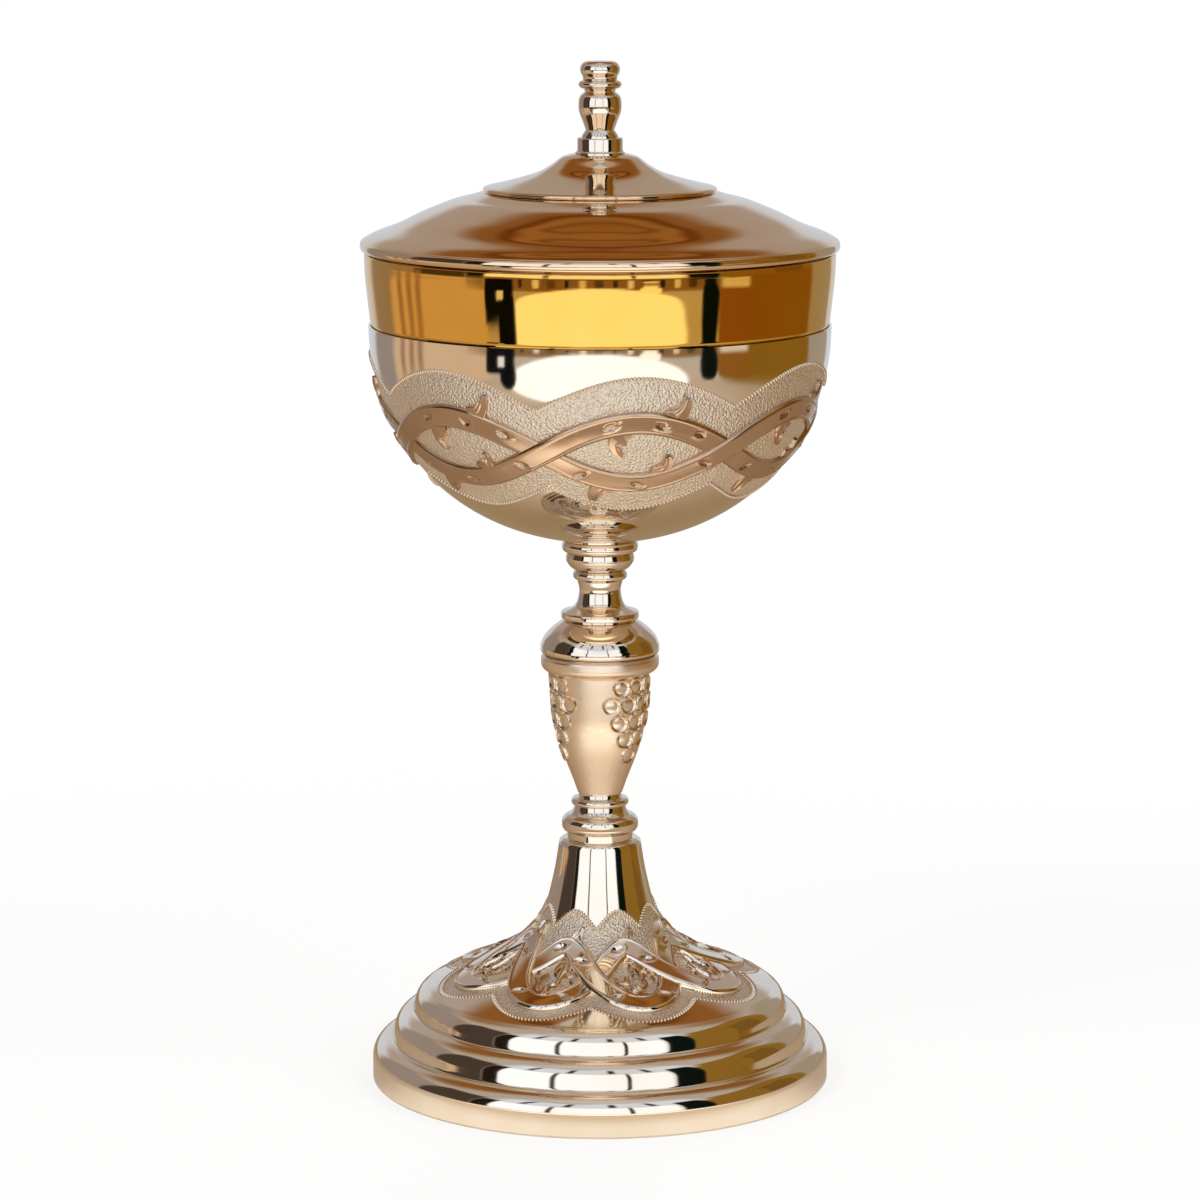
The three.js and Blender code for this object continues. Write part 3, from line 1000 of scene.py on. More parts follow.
@dataclass(frozen=True)
class ChasedPlate(MirrorPlate):
    """The same plate where it is chased.

    The punched ground between the straps scatters the light, so it looks pale and grainy beside the
    polish. The punch's real grain is about half a millimetre, drawn a little coarser so that it shows.
    """

    grain_mm: float = 0.66
    grain_depth: float = 0.3
    ground_roughness: float = 0.5
    fine_share: float = 0.8
    wander_mm: float = 2.2
    wander: float = 0.0006

    def _shader(self, tree: Tree) -> Node:
        """Adds the polish and the punched ground, mixed by the attribute ground.

        Args:
            tree: The material's tree.

        Returns:
            The node that mixes the two.
        """
        polish = super()._shader(tree)
        place = add_node(tree, "ShaderNodeTexCoord").outputs["Object"]
        drift = add_node(tree, "ShaderNodeTexNoise", {
            "Vector": place,
            "Scale": 1.0 / (self.wander_mm * MM),
            "Detail": 2.0,
        })
        bent = add_node(tree, "ShaderNodeMix", {
            "Factor": self.wander,
            "A": place,
            "B": drift.outputs["Color"],
        }, data_type="VECTOR")
        cells = add_node(tree, "ShaderNodeTexVoronoi", {
            "Vector": bent.outputs["Result"],
            "Scale": 1.0 / (self.grain_mm * MM),
        }, feature="F1")
        fine = add_node(tree, "ShaderNodeTexNoise", {
            "Vector": place,
            "Scale": 1.0 / (self.grain_mm * self.fine_share * MM),
            "Detail": 2.0,
        })
        height = add_node(tree, "ShaderNodeMath", {
            0: cells.outputs["Distance"],
            1: fine.outputs["Fac"],
        }, operation="ADD")
        bump = add_node(tree, "ShaderNodeBump", {
            "Strength": 1.0,
            "Distance": self.grain_depth * MM,
            "Height": height.outputs[0],
        })
        tint = add_node(tree, "ShaderNodeMix", {
            "Factor": fine.outputs["Fac"],
            "A": linear(self.colour),
            "B": linear(self.shade),
        }, data_type="RGBA")
        ground = add_node(tree, "ShaderNodeBsdfPrincipled", {
            "Base Color": tint.outputs["Result"],
            "Metallic": 1.0,
            "Roughness": self.ground_roughness,
            "Normal": bump.outputs["Normal"],
        })
        mark = add_node(tree, "ShaderNodeAttribute", attribute_name="ground")
        return add_node(tree, "ShaderNodeMixShader", {
            0: mark.outputs["Fac"],
            1: polish.outputs[0],
            2: ground.outputs[0],
        })


@dataclass(frozen=True)
class Finishes:
    """Every finish on the object, made once."""

    # Pale gold plate on spun brass, buffed: a clear mirror with a warm tint.
    champagne: Finish = field(default_factory=lambda: MirrorPlate(
        "champagne_plate_buffed", "EDD2AE", "E9CBA5").material())
    # The same plate on small turned pieces, tinted paler than the rest as painted highlight, so that they
    # look whiter.
    bright: Finish = field(default_factory=lambda: MirrorPlate(
        "champagne_plate_painted_highlight", "EFE0CC", "E9D6BE").material())
    # Plate burnished by hand on the calyx's straps: a little softer than a mirror, and tinted browner as
    # painted shade.
    strap_painted_shade: Finish = field(default_factory=lambda: MirrorPlate(
        "champagne_plate_burnished_painted_shade", "CFB193", "C4A283", roughness=0.16).material())
    # Plate polished only on what stands up, the rims of the grapes: soft bright edges.
    raised: Finish = field(default_factory=lambda: MirrorPlate(
        "champagne_plate_raised_polish", "F5E3CC", "EDD8BC", roughness=0.18).material())
    # Plate on the brushed casting of the vase: an even glow with no clear reflection.
    satin: Finish = field(default_factory=lambda: MirrorPlate(
        "champagne_plate_satin_brushed", "F9E5CB", "F4DDC0", roughness=0.28, haze_mm=1.4).material())
    # Plate over chasing: polish beside a matte ground whose grain sparkles a little.
    chased: Finish = field(default_factory=lambda: ChasedPlate(
        "champagne_plate_chased", "F7EBDA", "EAD8BC").material())
    # Yellow gilding on the cup, which touches what it holds: the deepest mirror of all.
    gilt: Finish = field(default_factory=lambda: MirrorPlate(
        "yellow_gilding_buffed", "F3C263", "EBB552", roughness=0.03).material())
    # Zinc plate on turned steel, for the rod, its nut and its washer: grey and dull.
    steel: Finish = field(default_factory=lambda: MirrorPlate(
        "zinc_plated_steel_turned", "BFC2C4", "A4A8AB", roughness=0.3, haze_mm=0.3).material())
    # Bare turned brass, for the boss and the finial's nut: yellow, with fine turning lines.
    brass: Finish = field(default_factory=lambda: MirrorPlate(
        "bare_brass_turned", "D6AE60", "BF9247", roughness=0.26, haze_mm=0.3).material())


CALYX_SPUR = Spur(((0.60, 18.6), (0.722, 17.6), (0.735, 12.2)), base=9.0, tip=2.5)
CALYX_HANGING_SPUR = Spur(((0.46, 21.0), (0.335, 23.0), (0.425, 27.4)), base=8.0, tip=1.8)
CALYX_RISING_SPUR = Spur(((0.579, 34.1), (0.704, 32.1), (0.669, 27.7)), base=8.5, tip=2.2)
CALYX_BEADS = Beading(pitch=0.95, size=(0.85, 0.95, 0.8), lift=0.05)
CALYX_INTERLACE = Interlace(
    repeats=7,
    first_cusp=-16.0,
    middle=27.0,
    high_swing=8.8,
    low_swing=8.8,
    width=5.7,
    lift=0.5,
    crown=0.06,
    over=0.3,
    under=0.25,
    rising_on_top=True,
    high_border=(15.2, 8.4),
    low_border=(37.6, 8.4),
    sunk=0.28,
    spurs=(CALYX_SPUR, CALYX_SPUR.mirrored(27.0), CALYX_HANGING_SPUR, CALYX_RISING_SPUR),
    dents=((0.36, 18.8), (0.61, 18.8), (0.82, 21.5), (0.20, 32.7), (0.52, 36.0), (0.89, 30.0)),
)

FOOT_SPUR = Spur(((0.46, 27.2), (0.64, 25.6), (0.69, 21.4)), base=6.5, tip=1.9, ridge=0.35)
FOOT_EYE_SPUR = Spur(((0.66, 44.6), (0.30, 46.0), (0.41, 36.4)), base=4.8, tip=1.8, ridge=0.55)
FOOT_EYE_LEAVES = (
    Spur(((0.40, 41.8), (0.62, 42.0), (0.60, 38.0)), base=2.6, tip=1.2, ridge=0.45),
    Spur(((0.62, 31.8), (0.46, 32.4), (0.50, 36.2)), base=2.6, tip=1.2, ridge=0.45),
    Spur(((0.26, 36.2), (0.31, 40.2), (0.40, 39.8)), base=2.0, tip=0.9, ridge=0.4),
    Spur(((0.74, 38.4), (0.69, 34.6), (0.61, 35.0)), base=2.0, tip=0.9, ridge=0.4),
)
FOOT_ROPE = Beading(pitch=0.8, size=(0.66, 1.5, 1.0), lift=0.05, twist=35.0)
FOOT_TICKS = Beading(pitch=0.95, size=(0.66, 1.6, 0.8), lift=0.05)
FOOT_INTERLACE = Interlace(
    repeats=8,
    first_cusp=-3.5,
    middle=37.0,
    high_swing=10.0,
    low_swing=10.6,
    width=6.2,
    lift=0.7,
    crown=0.1,
    over=0.3,
    under=0.25,
    rising_on_top=False,
    rim=0.26,
    high_border=(21.8, 4.6),
    low_border=(47.7, 6.6),
    sunk=0.3,
    spurs=(FOOT_SPUR, FOOT_EYE_SPUR, FOOT_EYE_SPUR.mirrored(37.4), *FOOT_EYE_LEAVES),
    dents=((0.37, 27.6), (0.79, 31.2), (0.24, 44.6), (0.72, 44.4)),
)


@dataclass
class Assembly:
    """A sub-assembly, with the workshop that makes its pieces, the finishes and the body that it rides on."""

    shop: Workshop
    finishes: Finishes
    body: Body = Body.VESSEL

    def turned(
        self,
        name: str,
        node: str,
        outline: Line,
        finish: Finish,
        steps: int = 192,
        slot: Slot = Slot.CHAMPAGNE,
    ) -> None:
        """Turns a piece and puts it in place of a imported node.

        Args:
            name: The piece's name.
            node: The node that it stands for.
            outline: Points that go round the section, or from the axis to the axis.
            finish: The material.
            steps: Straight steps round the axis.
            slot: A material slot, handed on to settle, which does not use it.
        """
        settle(self.shop.turn(name, outline, finish, steps), self.body, slot, node)

    def relief(
        self,
        name: str,
        skin: Skin,
        interlace: Interlace,
        finish: Finish,
        straps: bool = True,
        spurs: bool = True,
    ) -> None:
        """Lays the straps or the spurs of an interlace all the way round.

        Args:
            name: The piece's name.
            skin: What it lies on.
            interlace: The ornament.
            finish: The material.
            straps: Whether the piece holds the straps.
            spurs: Whether it holds the spurs.
        """
        item = interlace.motif(name, skin, straps, spurs)
        self.shop.repeat(item, interlace.repeats, finish)
        settle(item, self.body, Slot.CHASED)

    def border(self, name: str, skin: Skin, interlace: Interlace, low: bool, beading: Beading) -> None:
        """Sets the beads of one border of an interlace.

        Args:
            name: The piece's name.
            skin: What the beads sit on.
            interlace: The ornament.
            low: Whether it is the low border.
            beading: The beads' sizes.
        """
        item = self.shop.beads(name, skin, interlace.border_path(low), beading, self.finishes.bright)
        settle(item, self.body, Slot.CHASED)


@dataclass
class Foot(Assembly):
    """The spun foot: three rolled rings and a bell with a chased interlace."""

    radius: float = 58.5
    wall: float = 1.0
    top_radius: float = 10.4
    top_thickness: float = 1.6
    top_edge: float = 0.9
    hem: float = 4.0
    band: float = 5.6
    low_roll: float = 4.8
    middle_radius: float = 53.3
    middle_height: float = 7.3
    middle_side: float = 0.38
    middle_roll: float = 5.3
    high_radius: float = 47.9
    high_height: float = 6.3
    high_side: float = 0.34
    high_roll: float = 5.2
    bell_set_in: float = 3.44
    slant: float = 9.0
    fillet: float = 0.5
    rod_bore: float = 3.3
    ornament: tuple[float, float] = (16.0, 56.0)

    def _ring(self, radius: float, ledge: float, rise: float, roll: float) -> Line:
        """Draws a ring: a fillet, a side that slants in as it rises and a roll over to the next ledge.

        Args:
            radius: The ring's radius at its ledge.
            ledge: The height that it rises from.
            rise: The height of its slanted side.
            roll: The radius of its roll.

        Returns:
            The ring's points.
        """
        turn = math.radians(self.slant)
        top = radius - rise * math.tan(turn) - roll * math.cos(turn)
        return [
            *arc((radius + self.fillet, ledge + self.fillet), self.fillet, 262, 180 + self.slant, 7),
            *arc((top, ledge + rise - roll * math.sin(turn)), roll, self.slant, 76, 20),
        ]

    def outside(self) -> Line:
        """Draws the outside from the ground up.

        Returns:
            The points of the band, the rings and the bell.
        """
        low_ledge = self.band + self.low_roll
        middle_ledge = low_ledge + self.middle_height
        bell_base = middle_ledge + self.high_height
        shape = [(0, 0), (0.137, 0.053), (0.439, 0.16), (0.696, 0.293), (0.863, 0.48), (0.951, 0.747), (1, 1)]
        return [
            (self.radius - 0.25, 0.0),
            (self.radius, 0.3),
            (self.radius, self.band * 0.5),
            *arc((self.radius - self.low_roll, self.band), self.low_roll, 0, 80, 22),
            *self._ring(
                self.middle_radius, low_ledge, self.middle_height * self.middle_side, self.middle_roll),
            *self._ring(
                self.high_radius, middle_ledge, self.high_height * self.high_side, self.high_roll)[:-5],
            *flowing(
                shape,
                (self.high_radius - self.bell_set_in, bell_base),
                (self.top_radius, level("foot_shell", True) - self.top_edge),
                160,
            ),
        ]

    def build(self) -> None:
        """Builds the shell and its ornament."""
        top = level("foot_shell", True)
        outside = self.outside()
        crest = arc((self.top_radius - self.top_edge, top - self.top_edge), self.top_edge, 80, 10, 6)
        skin = Skin([*crest, *outside[::-1]])
        under_top = top - self.top_thickness
        within = [point for point in inset(outside, self.wall)[3::5] if point[1] < under_top - 0.4]
        inside = [
            (self.radius - self.hem, 0.0),
            (self.radius - self.hem, self.wall),
            (self.radius - self.wall * 2, self.wall),
            *within,
            (within[-1][0], under_top),
            (self.rod_bore, under_top),
            (self.rod_bore, top),
        ]
        first, last = self.ornament
        rows = np.concatenate([
            np.linspace(0.0, first, 16, endpoint=False),
            np.linspace(first, last, 86, endpoint=False),
            np.linspace(last, skin.length, 70),
        ])
        sheet = relief_sheet("foot_sheet", skin, rows, 400, FOOT_INTERLACE, inside, self.finishes.chased)
        settle(sheet, self.body, Slot.CHAMPAGNE, "foot_shell")
        self.relief("foot_straps", skin, FOOT_INTERLACE, self.finishes.bright, spurs=False)
        self.relief("foot_spurs", skin, FOOT_INTERLACE, self.finishes.bright, straps=False)
        self.border("foot_rope_border", skin, FOOT_INTERLACE, False, FOOT_ROPE)
        self.border("foot_tick_border", skin, FOOT_INTERLACE, True, FOOT_TICKS)


@dataclass
class Stem(Assembly):
    """The turned stem: collar, grape vase, cap and beaded neck."""

    bore: float = 3.3
    collar_radius: float = 9.7
    collar_bead: float = 7.3
    collar_neck: float = 5.4
    collar_band_shares: tuple[float, float] = (0.14, 0.52)
    collar_bead_shares: tuple[float, float] = (0.72, 0.87)
    vase_radius: float = 12.6
    vase_neck: float = 5.7
    vase_wall: float = 1.5
    vase_floor: float = 4.5
    ring_radius: float = 15.0
    ring_height: float = 5.0
    ring_roll: float = 2.3
    ring_edge: float = 0.9
    cap_radius: float = 15.1
    cap_wall: float = 1.2
    cap_top: float = 9.5
    flange: float = 9.9
    flange_thickness: float = 1.9
    neck_radius: float = 5.3
    low_bead: float = 6.9
    middle_bead: float = 8.7
    high_bead: float = 9.7
    neck_bead_shares: tuple[float, float, float] = (0.47, 0.605, 0.83)
    spigot_radius: float = 9.0
    spigot_height: float = 0.7
    boss_bore: float = 5.5
    grape: float = 4.6
    grape_share: float = 0.555
    grape_pitch: float = 1.03
    grape_lift: float = 0.55
    grape_edge: float = 0.3
    first_row: float = 0.46
    bunch: tuple[int, ...] = (3, 4, 3, 2, 1)
    bunches: int = 3
    first_bunch: float = 47.0

    def collar(self) -> None:
        """Builds the round band, waist and small bead under the vase."""
        base, top = level("stem_collar"), level("stem_collar", True)
        tall = top - base
        band_low, band_high = [base + tall * share for share in self.collar_band_shares]
        bead_low, bead_high = [base + tall * share for share in self.collar_bead_shares]
        outline = [
            (self.bore, base),
            (self.collar_radius - 1.3, base),
            (self.collar_radius - 1.35, base + 0.7),
            *arc((self.collar_radius - 1.7, band_low + 1.7), 1.7, -80, 0, 10),
            *arc((self.collar_radius - 2.0, band_high - 2.0), 2.0, 0, 75, 10),
            *flowing(
                [(0, 0), (0.35, 0.22), (0.75, 0.55), (1, 1)],
                (self.collar_radius - 2.0, band_high + 0.05),
                (self.collar_bead - 0.9, bead_low),
                12,
            ),
            *bead(self.collar_bead - 0.55, self.collar_bead, bead_low + 0.1, bead_high),
            (self.collar_neck + 0.25, bead_high + 0.2),
            (self.collar_neck, bead_high + 0.6),
            (self.collar_neck, top),
            (self.bore, top),
        ]
        self.turned("collar_turned", "stem_collar", outline, self.finishes.bright)

    def vase(self) -> None:
        """Builds the vase with its rim ring and its bunches of grapes."""
        base, top = level("knop_vase"), level("knop_vase", True)
        shape = [(0, 0), (0.178, 0.113), (0.609, 0.371), (0.877, 0.629), (0.971, 0.887), (1, 1)]
        ring_base = top - self.ring_height
        outside = flowing(shape, (self.vase_neck, base), (self.vase_radius, ring_base), 60)
        inside = [point for point in inset(outside, self.vase_wall)[::4] if point[1] > base + self.vase_floor]
        outline = [
            (self.bore, base),
            *outside,
            *arc((self.ring_radius - self.ring_roll, ring_base + 2.7), self.ring_roll, -62, 0, 12),
            *arc((self.ring_radius - self.ring_edge, top - 1.15), self.ring_edge, 0, 90, 8),
            (self.ring_radius - 1.3, top - 0.25),
            (self.ring_radius - 1.3, top),
            (self.vase_radius - self.vase_wall, top),
            *inside[::-1],
            (self.bore, base + self.vase_floor),
        ]
        self.turned("vase_cast", "knop_vase", outline, self.finishes.satin)
        grapes = self._grapes(Skin(outside[::-1]))
        self.shop.repeat(grapes, self.bunches, self.finishes.raised)
        settle(grapes, self.body, Slot.CHAMPAGNE)

    def _grapes(self, skin: Skin) -> Item:
        """Sets one bunch: each grape is a dished disc inside a raised rim, and lies close to the skin.

        Args:
            skin: The outside of the vase, from its rim ring down.

        Returns:
            One bunch.
        """
        rings, spokes = 15, 32
        size = self.grape * self.grape_share
        reach = np.linspace(0.0, 1.0, rings)
        dome = 0.3 * (1.0 - (reach / 0.66) ** 2).clip(0.0) ** 0.8
        rise = dome + np.exp(-((reach - 0.83) / 0.1) ** 2)
        rise = rise / rise.max() * self.grape_lift
        rise[-1] = -self.grape_edge
        turn = np.linspace(0.0, math.tau, spokes, endpoint=False)
        points, faces = [], []
        for row, count in enumerate(self.bunch):
            down = self.grape * (self.first_row + row)
            radius = float(skin.radius(np.array(down)))
            for place in range(count):
                aside = (place - (count - 1) / 2.0) * self.grape * self.grape_pitch / radius
                middle = math.radians(self.first_bunch) + aside
                across = np.outer(reach, np.cos(turn)) * size
                tall = np.outer(reach, np.sin(turn)) * size
                along = down + tall
                grid = skin.place(middle + across / skin.radius(along), along.clip(0.0), rise[:, None])
                first = sum(len(part) for part in points)
                faces += [tuple(first + c for c in face) for face in grid_faces(rings, spokes, False, True)]
                points.append(grid.reshape(-1, 3))
        return new_piece("vase_grapes", np.concatenate(points), [], faces)

    def cap(self) -> None:
        """Builds the domed cap over the vase."""
        base, top = level("knop_cap"), level("knop_cap", True)
        shape = [(0, 0), (0.16, 0.32), (0.42, 0.6), (0.72, 0.82), (1, 1)]
        outside = [
            (self.cap_radius - 0.9, base),
            *arc((self.cap_radius - 0.7, base + 1.0), 0.7, -60, 0, 8),
            *flowing(shape, (self.cap_radius, base + 2.3), (self.cap_top, top - 0.5), 40),
            (self.cap_top - 0.45, top - 0.3),
            (self.cap_top - 0.5, top),
        ]
        inside = inset(outside, self.cap_wall)[2:-4:3]
        outline = [
            *outside,
            (self.bore, top),
            (self.bore, top - self.cap_wall),
            (self.cap_top - 2.0, top - self.cap_wall),
            *inside[::-1],
            (self.cap_radius - 0.9 - self.cap_wall, base),
        ]
        self.turned("cap_turned", "knop_cap", outline, self.finishes.bright)

    def neck(self) -> None:
        """Builds the flange, the cove and the three beads under the cup."""
        base, seat = level("stem_neck"), level("stem_neck", True)
        tall = seat - base
        flange_top = base + self.flange_thickness
        bead_base, middle_base, high_base = [base + tall * share for share in self.neck_bead_shares]
        spigot_base = seat - self.spigot_height
        cove = [(0, 0), (0.62, 0.14), (0.9, 0.37), (1, 0.72), (0.88, 1)]
        cup = [(0, 0), (0.55, 0.22), (1, 0.62), (0.9, 1)]
        recess = level("cup_boss") - 0.3
        outline = [
            (self.bore, base),
            (self.flange - 0.7, base),
            *arc((self.flange - 0.5, base + 0.5), 0.5, -60, 0, 5),
            *arc((self.flange - 0.5, flange_top - 0.5), 0.5, 0, 80, 6),
            *flowing(cove, (self.flange - 0.7, flange_top), (self.neck_radius, bead_base), 30),
            *bead(self.low_bead - 0.9, self.low_bead, bead_base + 0.3, middle_base - 0.15),
            *flowing(cup, (self.low_bead - 0.35, middle_base), (self.middle_bead, high_base - 0.35), 18),
            (self.middle_bead - 0.7, high_base - 0.1),
            *bead(self.high_bead - 0.9, self.high_bead, high_base, spigot_base),
            (self.spigot_radius, spigot_base + 0.05),
            (self.spigot_radius, seat),
            (self.boss_bore, seat),
            (self.boss_bore, recess),
            (self.bore, recess),
        ]
        self.turned("neck_turned", "stem_neck", outline, self.finishes.bright)

    def build(self) -> None:
        """Builds the stem from the foot up."""
        self.collar()
        self.vase()
        self.cap()
        self.neck()


@dataclass
class Cup(Assembly):
    """The gilded liner inside the thin chased calyx."""

    radius: float = 58.0
    fullness: float = 2.1
    seat_radius: float = 10.5
    seat_flat: float = 9.3
    boss_bore: float = 5.5
    wall: float = 0.6
    gap: float = 0.3
    mouth: float = 58.95
    liner_wall: float = 0.9
    lip: float = 1.4
    lip_height: float = 1.6
    lip_edge: float = 0.4
    band_set_in: float = 1.35
    ornament: tuple[float, float] = (5.5, 47.5)

    def bowl(self, steps: int) -> Line:
        """Draws the outside of the bowl, a superellipse, from its flat seat up to the calyx's top edge.

        Args:
            steps: Straight steps along it.

        Returns:
            The bowl's points.
        """
        seat, top = level("calyx"), level("calyx", True)
        share = self.seat_radius / self.radius
        depth = (top - seat) / (1.0 - share ** self.fullness) ** (1.0 / self.fullness)
        angles = np.linspace(math.asin(share ** (self.fullness / 2.0)), math.pi / 2.0, steps + 1)
        power = 2.0 / self.fullness
        return [
            (self.radius * math.sin(angle) ** power, top - depth * max(math.cos(angle), 0.0) ** power)
            for angle in angles
        ]

    def calyx(self) -> None:
        """Builds the calyx, its interlace and its beaded borders."""
        seat = level("calyx")
        bowl = self.bowl(320)
        skin = Skin([*bowl[::-1], (self.seat_flat, seat)])
        coarse = inset([(self.seat_flat, seat), *self.bowl(26)], self.wall)
        inside = [
            (self.boss_bore, seat),
            (self.boss_bore, seat + self.wall),
            *coarse,
        ]
        first, last = self.ornament
        rows = np.concatenate([
            np.linspace(0.0, first, 6, endpoint=False),
            np.linspace(first, last, 92, endpoint=False),
            np.linspace(last, skin.length, 22),
        ])
        sheet = relief_sheet("calyx_sheet", skin, rows, 616, CALYX_INTERLACE, inside, self.finishes.chased)
        settle(sheet, self.body, Slot.CHASED, "calyx")
        # The straps take the darker plate, whose brown tint is painted shade.
        self.relief("calyx_straps", skin, CALYX_INTERLACE, self.finishes.strap_painted_shade)
        self.border("calyx_high_beads", skin, CALYX_INTERLACE, False, CALYX_BEADS)
        self.border("calyx_low_beads", skin, CALYX_INTERLACE, True, CALYX_BEADS)

    def liner(self) -> None:
        """Builds the gilded cup, whose smooth band and lip stand above the calyx."""
        seat, top, mouth = level("calyx"), level("calyx", True), level("cup_liner", True)
        within = inset([(0.0, seat), (self.seat_flat, seat), *self.bowl(90)], self.wall + self.gap)
        within[0] = (0.0, within[0][1])
        band_base = top + self.wall + self.gap
        band_rise = mouth - self.lip_height - band_base
        band_foot = self.mouth - self.band_set_in
        band = [
            (band_foot, band_base),
            *flowing(
                [(0, 0), (0.45, 0.35), (0.9, 0.75), (1, 1)],
                (band_foot, band_base + 0.1),
                (self.mouth, band_base + band_rise),
                30,
            ),
        ]
        lip_inside = self.mouth - self.lip
        outside = [*within, *band]
        back = [point for point in inset(outside, self.liner_wall)[:-2] if point[0] > 0.6]
        outline = [
            *outside,
            *arc((self.mouth - self.lip_edge, mouth - self.lip_edge), self.lip_edge, 0, 90, 6),
            *arc((lip_inside + self.lip_edge, mouth - self.lip_edge), self.lip_edge, 90, 180, 6),
            (lip_inside, mouth - self.lip_height),
            *back[::-1],
            (0.0, back[0][1]),
        ]
        self.turned("liner_spun", "cup_liner", outline, self.finishes.gilt, 256, Slot.GILDING)

    def build(self) -> None:
        """Builds the cup."""
        self.calyx()
        self.liner()


@dataclass
class Lid(Assembly):
    """The spun lid with its skirt, crown and turned finial."""

    body: Body = Body.LID
    radius: float = 60.0
    wall: float = 0.9
    rim_height: float = 2.9
    skirt_radius: float = 56.85
    skirt_wall: float = 0.8
    crown_radius: float = 29.2
    crown_lip: float = 1.3
    crown_top: float = 7.4
    collar_radius: float = 6.3
    collar_top: float = 5.7
    knob_radius: float = 5.4
    knob_neck: float = 3.6
    knob_ring: float = 5.4
    knob_cap: float = 5.0
    cap_roll: float = 2.0
    stud: float = 2.0
    gap: float = 0.3

    def shell(self) -> None:
        """Builds the rounded rim, the gently waved slope and the flat centre."""
        base, top = level("lid_shell"), level("lid_shell", True)
        rim_top = base + self.rim_height
        bore = self.stud + self.gap
        shape = [(0, 0), (0.094, 0.12), (0.273, 0.29), (0.478, 0.547), (0.727, 0.803), (0.862, 0.889), (1, 1)]
        slope = [
            *flowing(shape, (self.radius - 0.9, rim_top), (self.crown_radius + 0.2, top), 90),
            (bore, top),
        ]
        rim_inside = self.skirt_radius + self.gap
        underside = [point for point in inset(slope, self.wall)[::3] if point[0] < rim_inside - self.wall]
        outline = [
            (rim_inside, base),
            (self.radius - 1.1, base),
            *bead(self.radius - 0.75, self.radius, base + 0.15, rim_top - 0.2, 18),
            *slope,
            (bore, top - self.wall),
            *underside[::-1],
            (rim_inside, rim_top - self.wall),
        ]
        self.turned("lid_spun", "lid_shell", outline, self.finishes.champagne, 256)

    def skirt(self) -> None:
        """Builds the ring that drops into the mouth."""
        low, top = level("lid_skirt"), level("lid_skirt", True)
        inner = self.skirt_radius - self.skirt_wall
        outline = [
            *arc((inner + self.skirt_wall / 2, low + self.skirt_wall / 2), self.skirt_wall / 2, 180, 360, 10),
            (self.skirt_radius, top),
            (inner, top),
        ]
        self.turned("skirt_rolled", "lid_skirt", outline, self.finishes.champagne, 256)

    def crown(self) -> None:
        """Builds the raised centre with its rolled lip."""
        base, top = level("lid_crown"), level("lid_crown", True)
        lip_top = base + self.crown_lip
        bore = self.stud + self.gap
        shape = [(0, 0), (0.275, 0.171), (0.588, 0.415), (0.768, 0.659), (0.891, 0.902), (1, 1)]
        flare = flowing(shape, (self.crown_radius - 0.6, lip_top), (self.crown_top, top), 80)
        inside = [point for point in inset(flare, self.wall)[4::3] if point[1] < top - self.wall - 0.2]
        outline = [
            (self.crown_radius - 0.7, base),
            *bead(self.crown_radius - 0.55, self.crown_radius, base + 0.1, lip_top - 0.05),
            *flare,
            (bore, top),
            (bore, top - self.wall),
            (self.crown_top - self.wall, top - self.wall),
            *inside[::-1],
            (self.crown_radius - 0.7 - self.wall, base),
        ]
        self.turned("crown_spun", "lid_crown", outline, self.finishes.champagne, 224)

    def finial(self) -> None:
        """Builds the collar and the knob with its threaded tail."""
        base, knob_base = level("finial_collar"), level("finial_collar", True)
        bore = self.stud + self.gap
        collar = [
            (bore, base),
            (self.collar_radius, base),
            *arc((self.collar_radius - 0.2, base + 0.35), 0.2, 0, 80, 4),
            *flowing(
                [(0, 0), (0.7, 0.35), (1, 1)],
                (self.collar_radius - 0.3, base + 0.6),
                (self.collar_top, base + 1.4),
                8,
            ),
            *arc((self.collar_top - 0.4, knob_base - 0.4), 0.4, 0, 90, 6),
            (bore, knob_base),
        ]
        self.turned("finial_collar_turned", "finial_collar", collar, self.finishes.bright, 128)
        top, tail = level("finial_knob", True), level("finial_knob")
        tall = top - knob_base
        bulb = [(0, 0), (0.42, 0.22), (0.9, 0.46), (1, 0.67), (0.8, 0.88), (0.1, 1)]
        knob = [
            (0.0, tail),
            (self.stud - 0.3, tail),
            (self.stud, tail + 0.3),
            (self.stud, knob_base),
            (self.knob_neck + 1.0, knob_base),
            (self.knob_neck + 0.9, knob_base + tall * 0.03),
            *flowing(
                bulb,
                (self.knob_neck, knob_base + tall * 0.1),
                (self.knob_radius, knob_base + tall * 0.6),
                40,
            ),
            *bead(self.knob_neck + 0.5, self.knob_ring, knob_base + tall * 0.64, knob_base + tall * 0.75, 16),
            *flowing(
                [(0, 0), (0.1, 0.4), (1, 1)],
                (self.knob_neck + 0.7, knob_base + tall * 0.76),
                (self.knob_cap - 0.15, knob_base + tall * 0.845),
                8,
            ),
            *arc((self.knob_cap - self.cap_roll, top - self.cap_roll), self.cap_roll, -8, 90, 14),
            (0.0, top),
        ]
        self.turned("finial_knob_turned", "finial_knob", knob, self.finishes.bright, 128)

    def build(self) -> None:
        """Builds the lid."""
        self.shell()
        self.skirt()
        self.crown()
        self.finial()


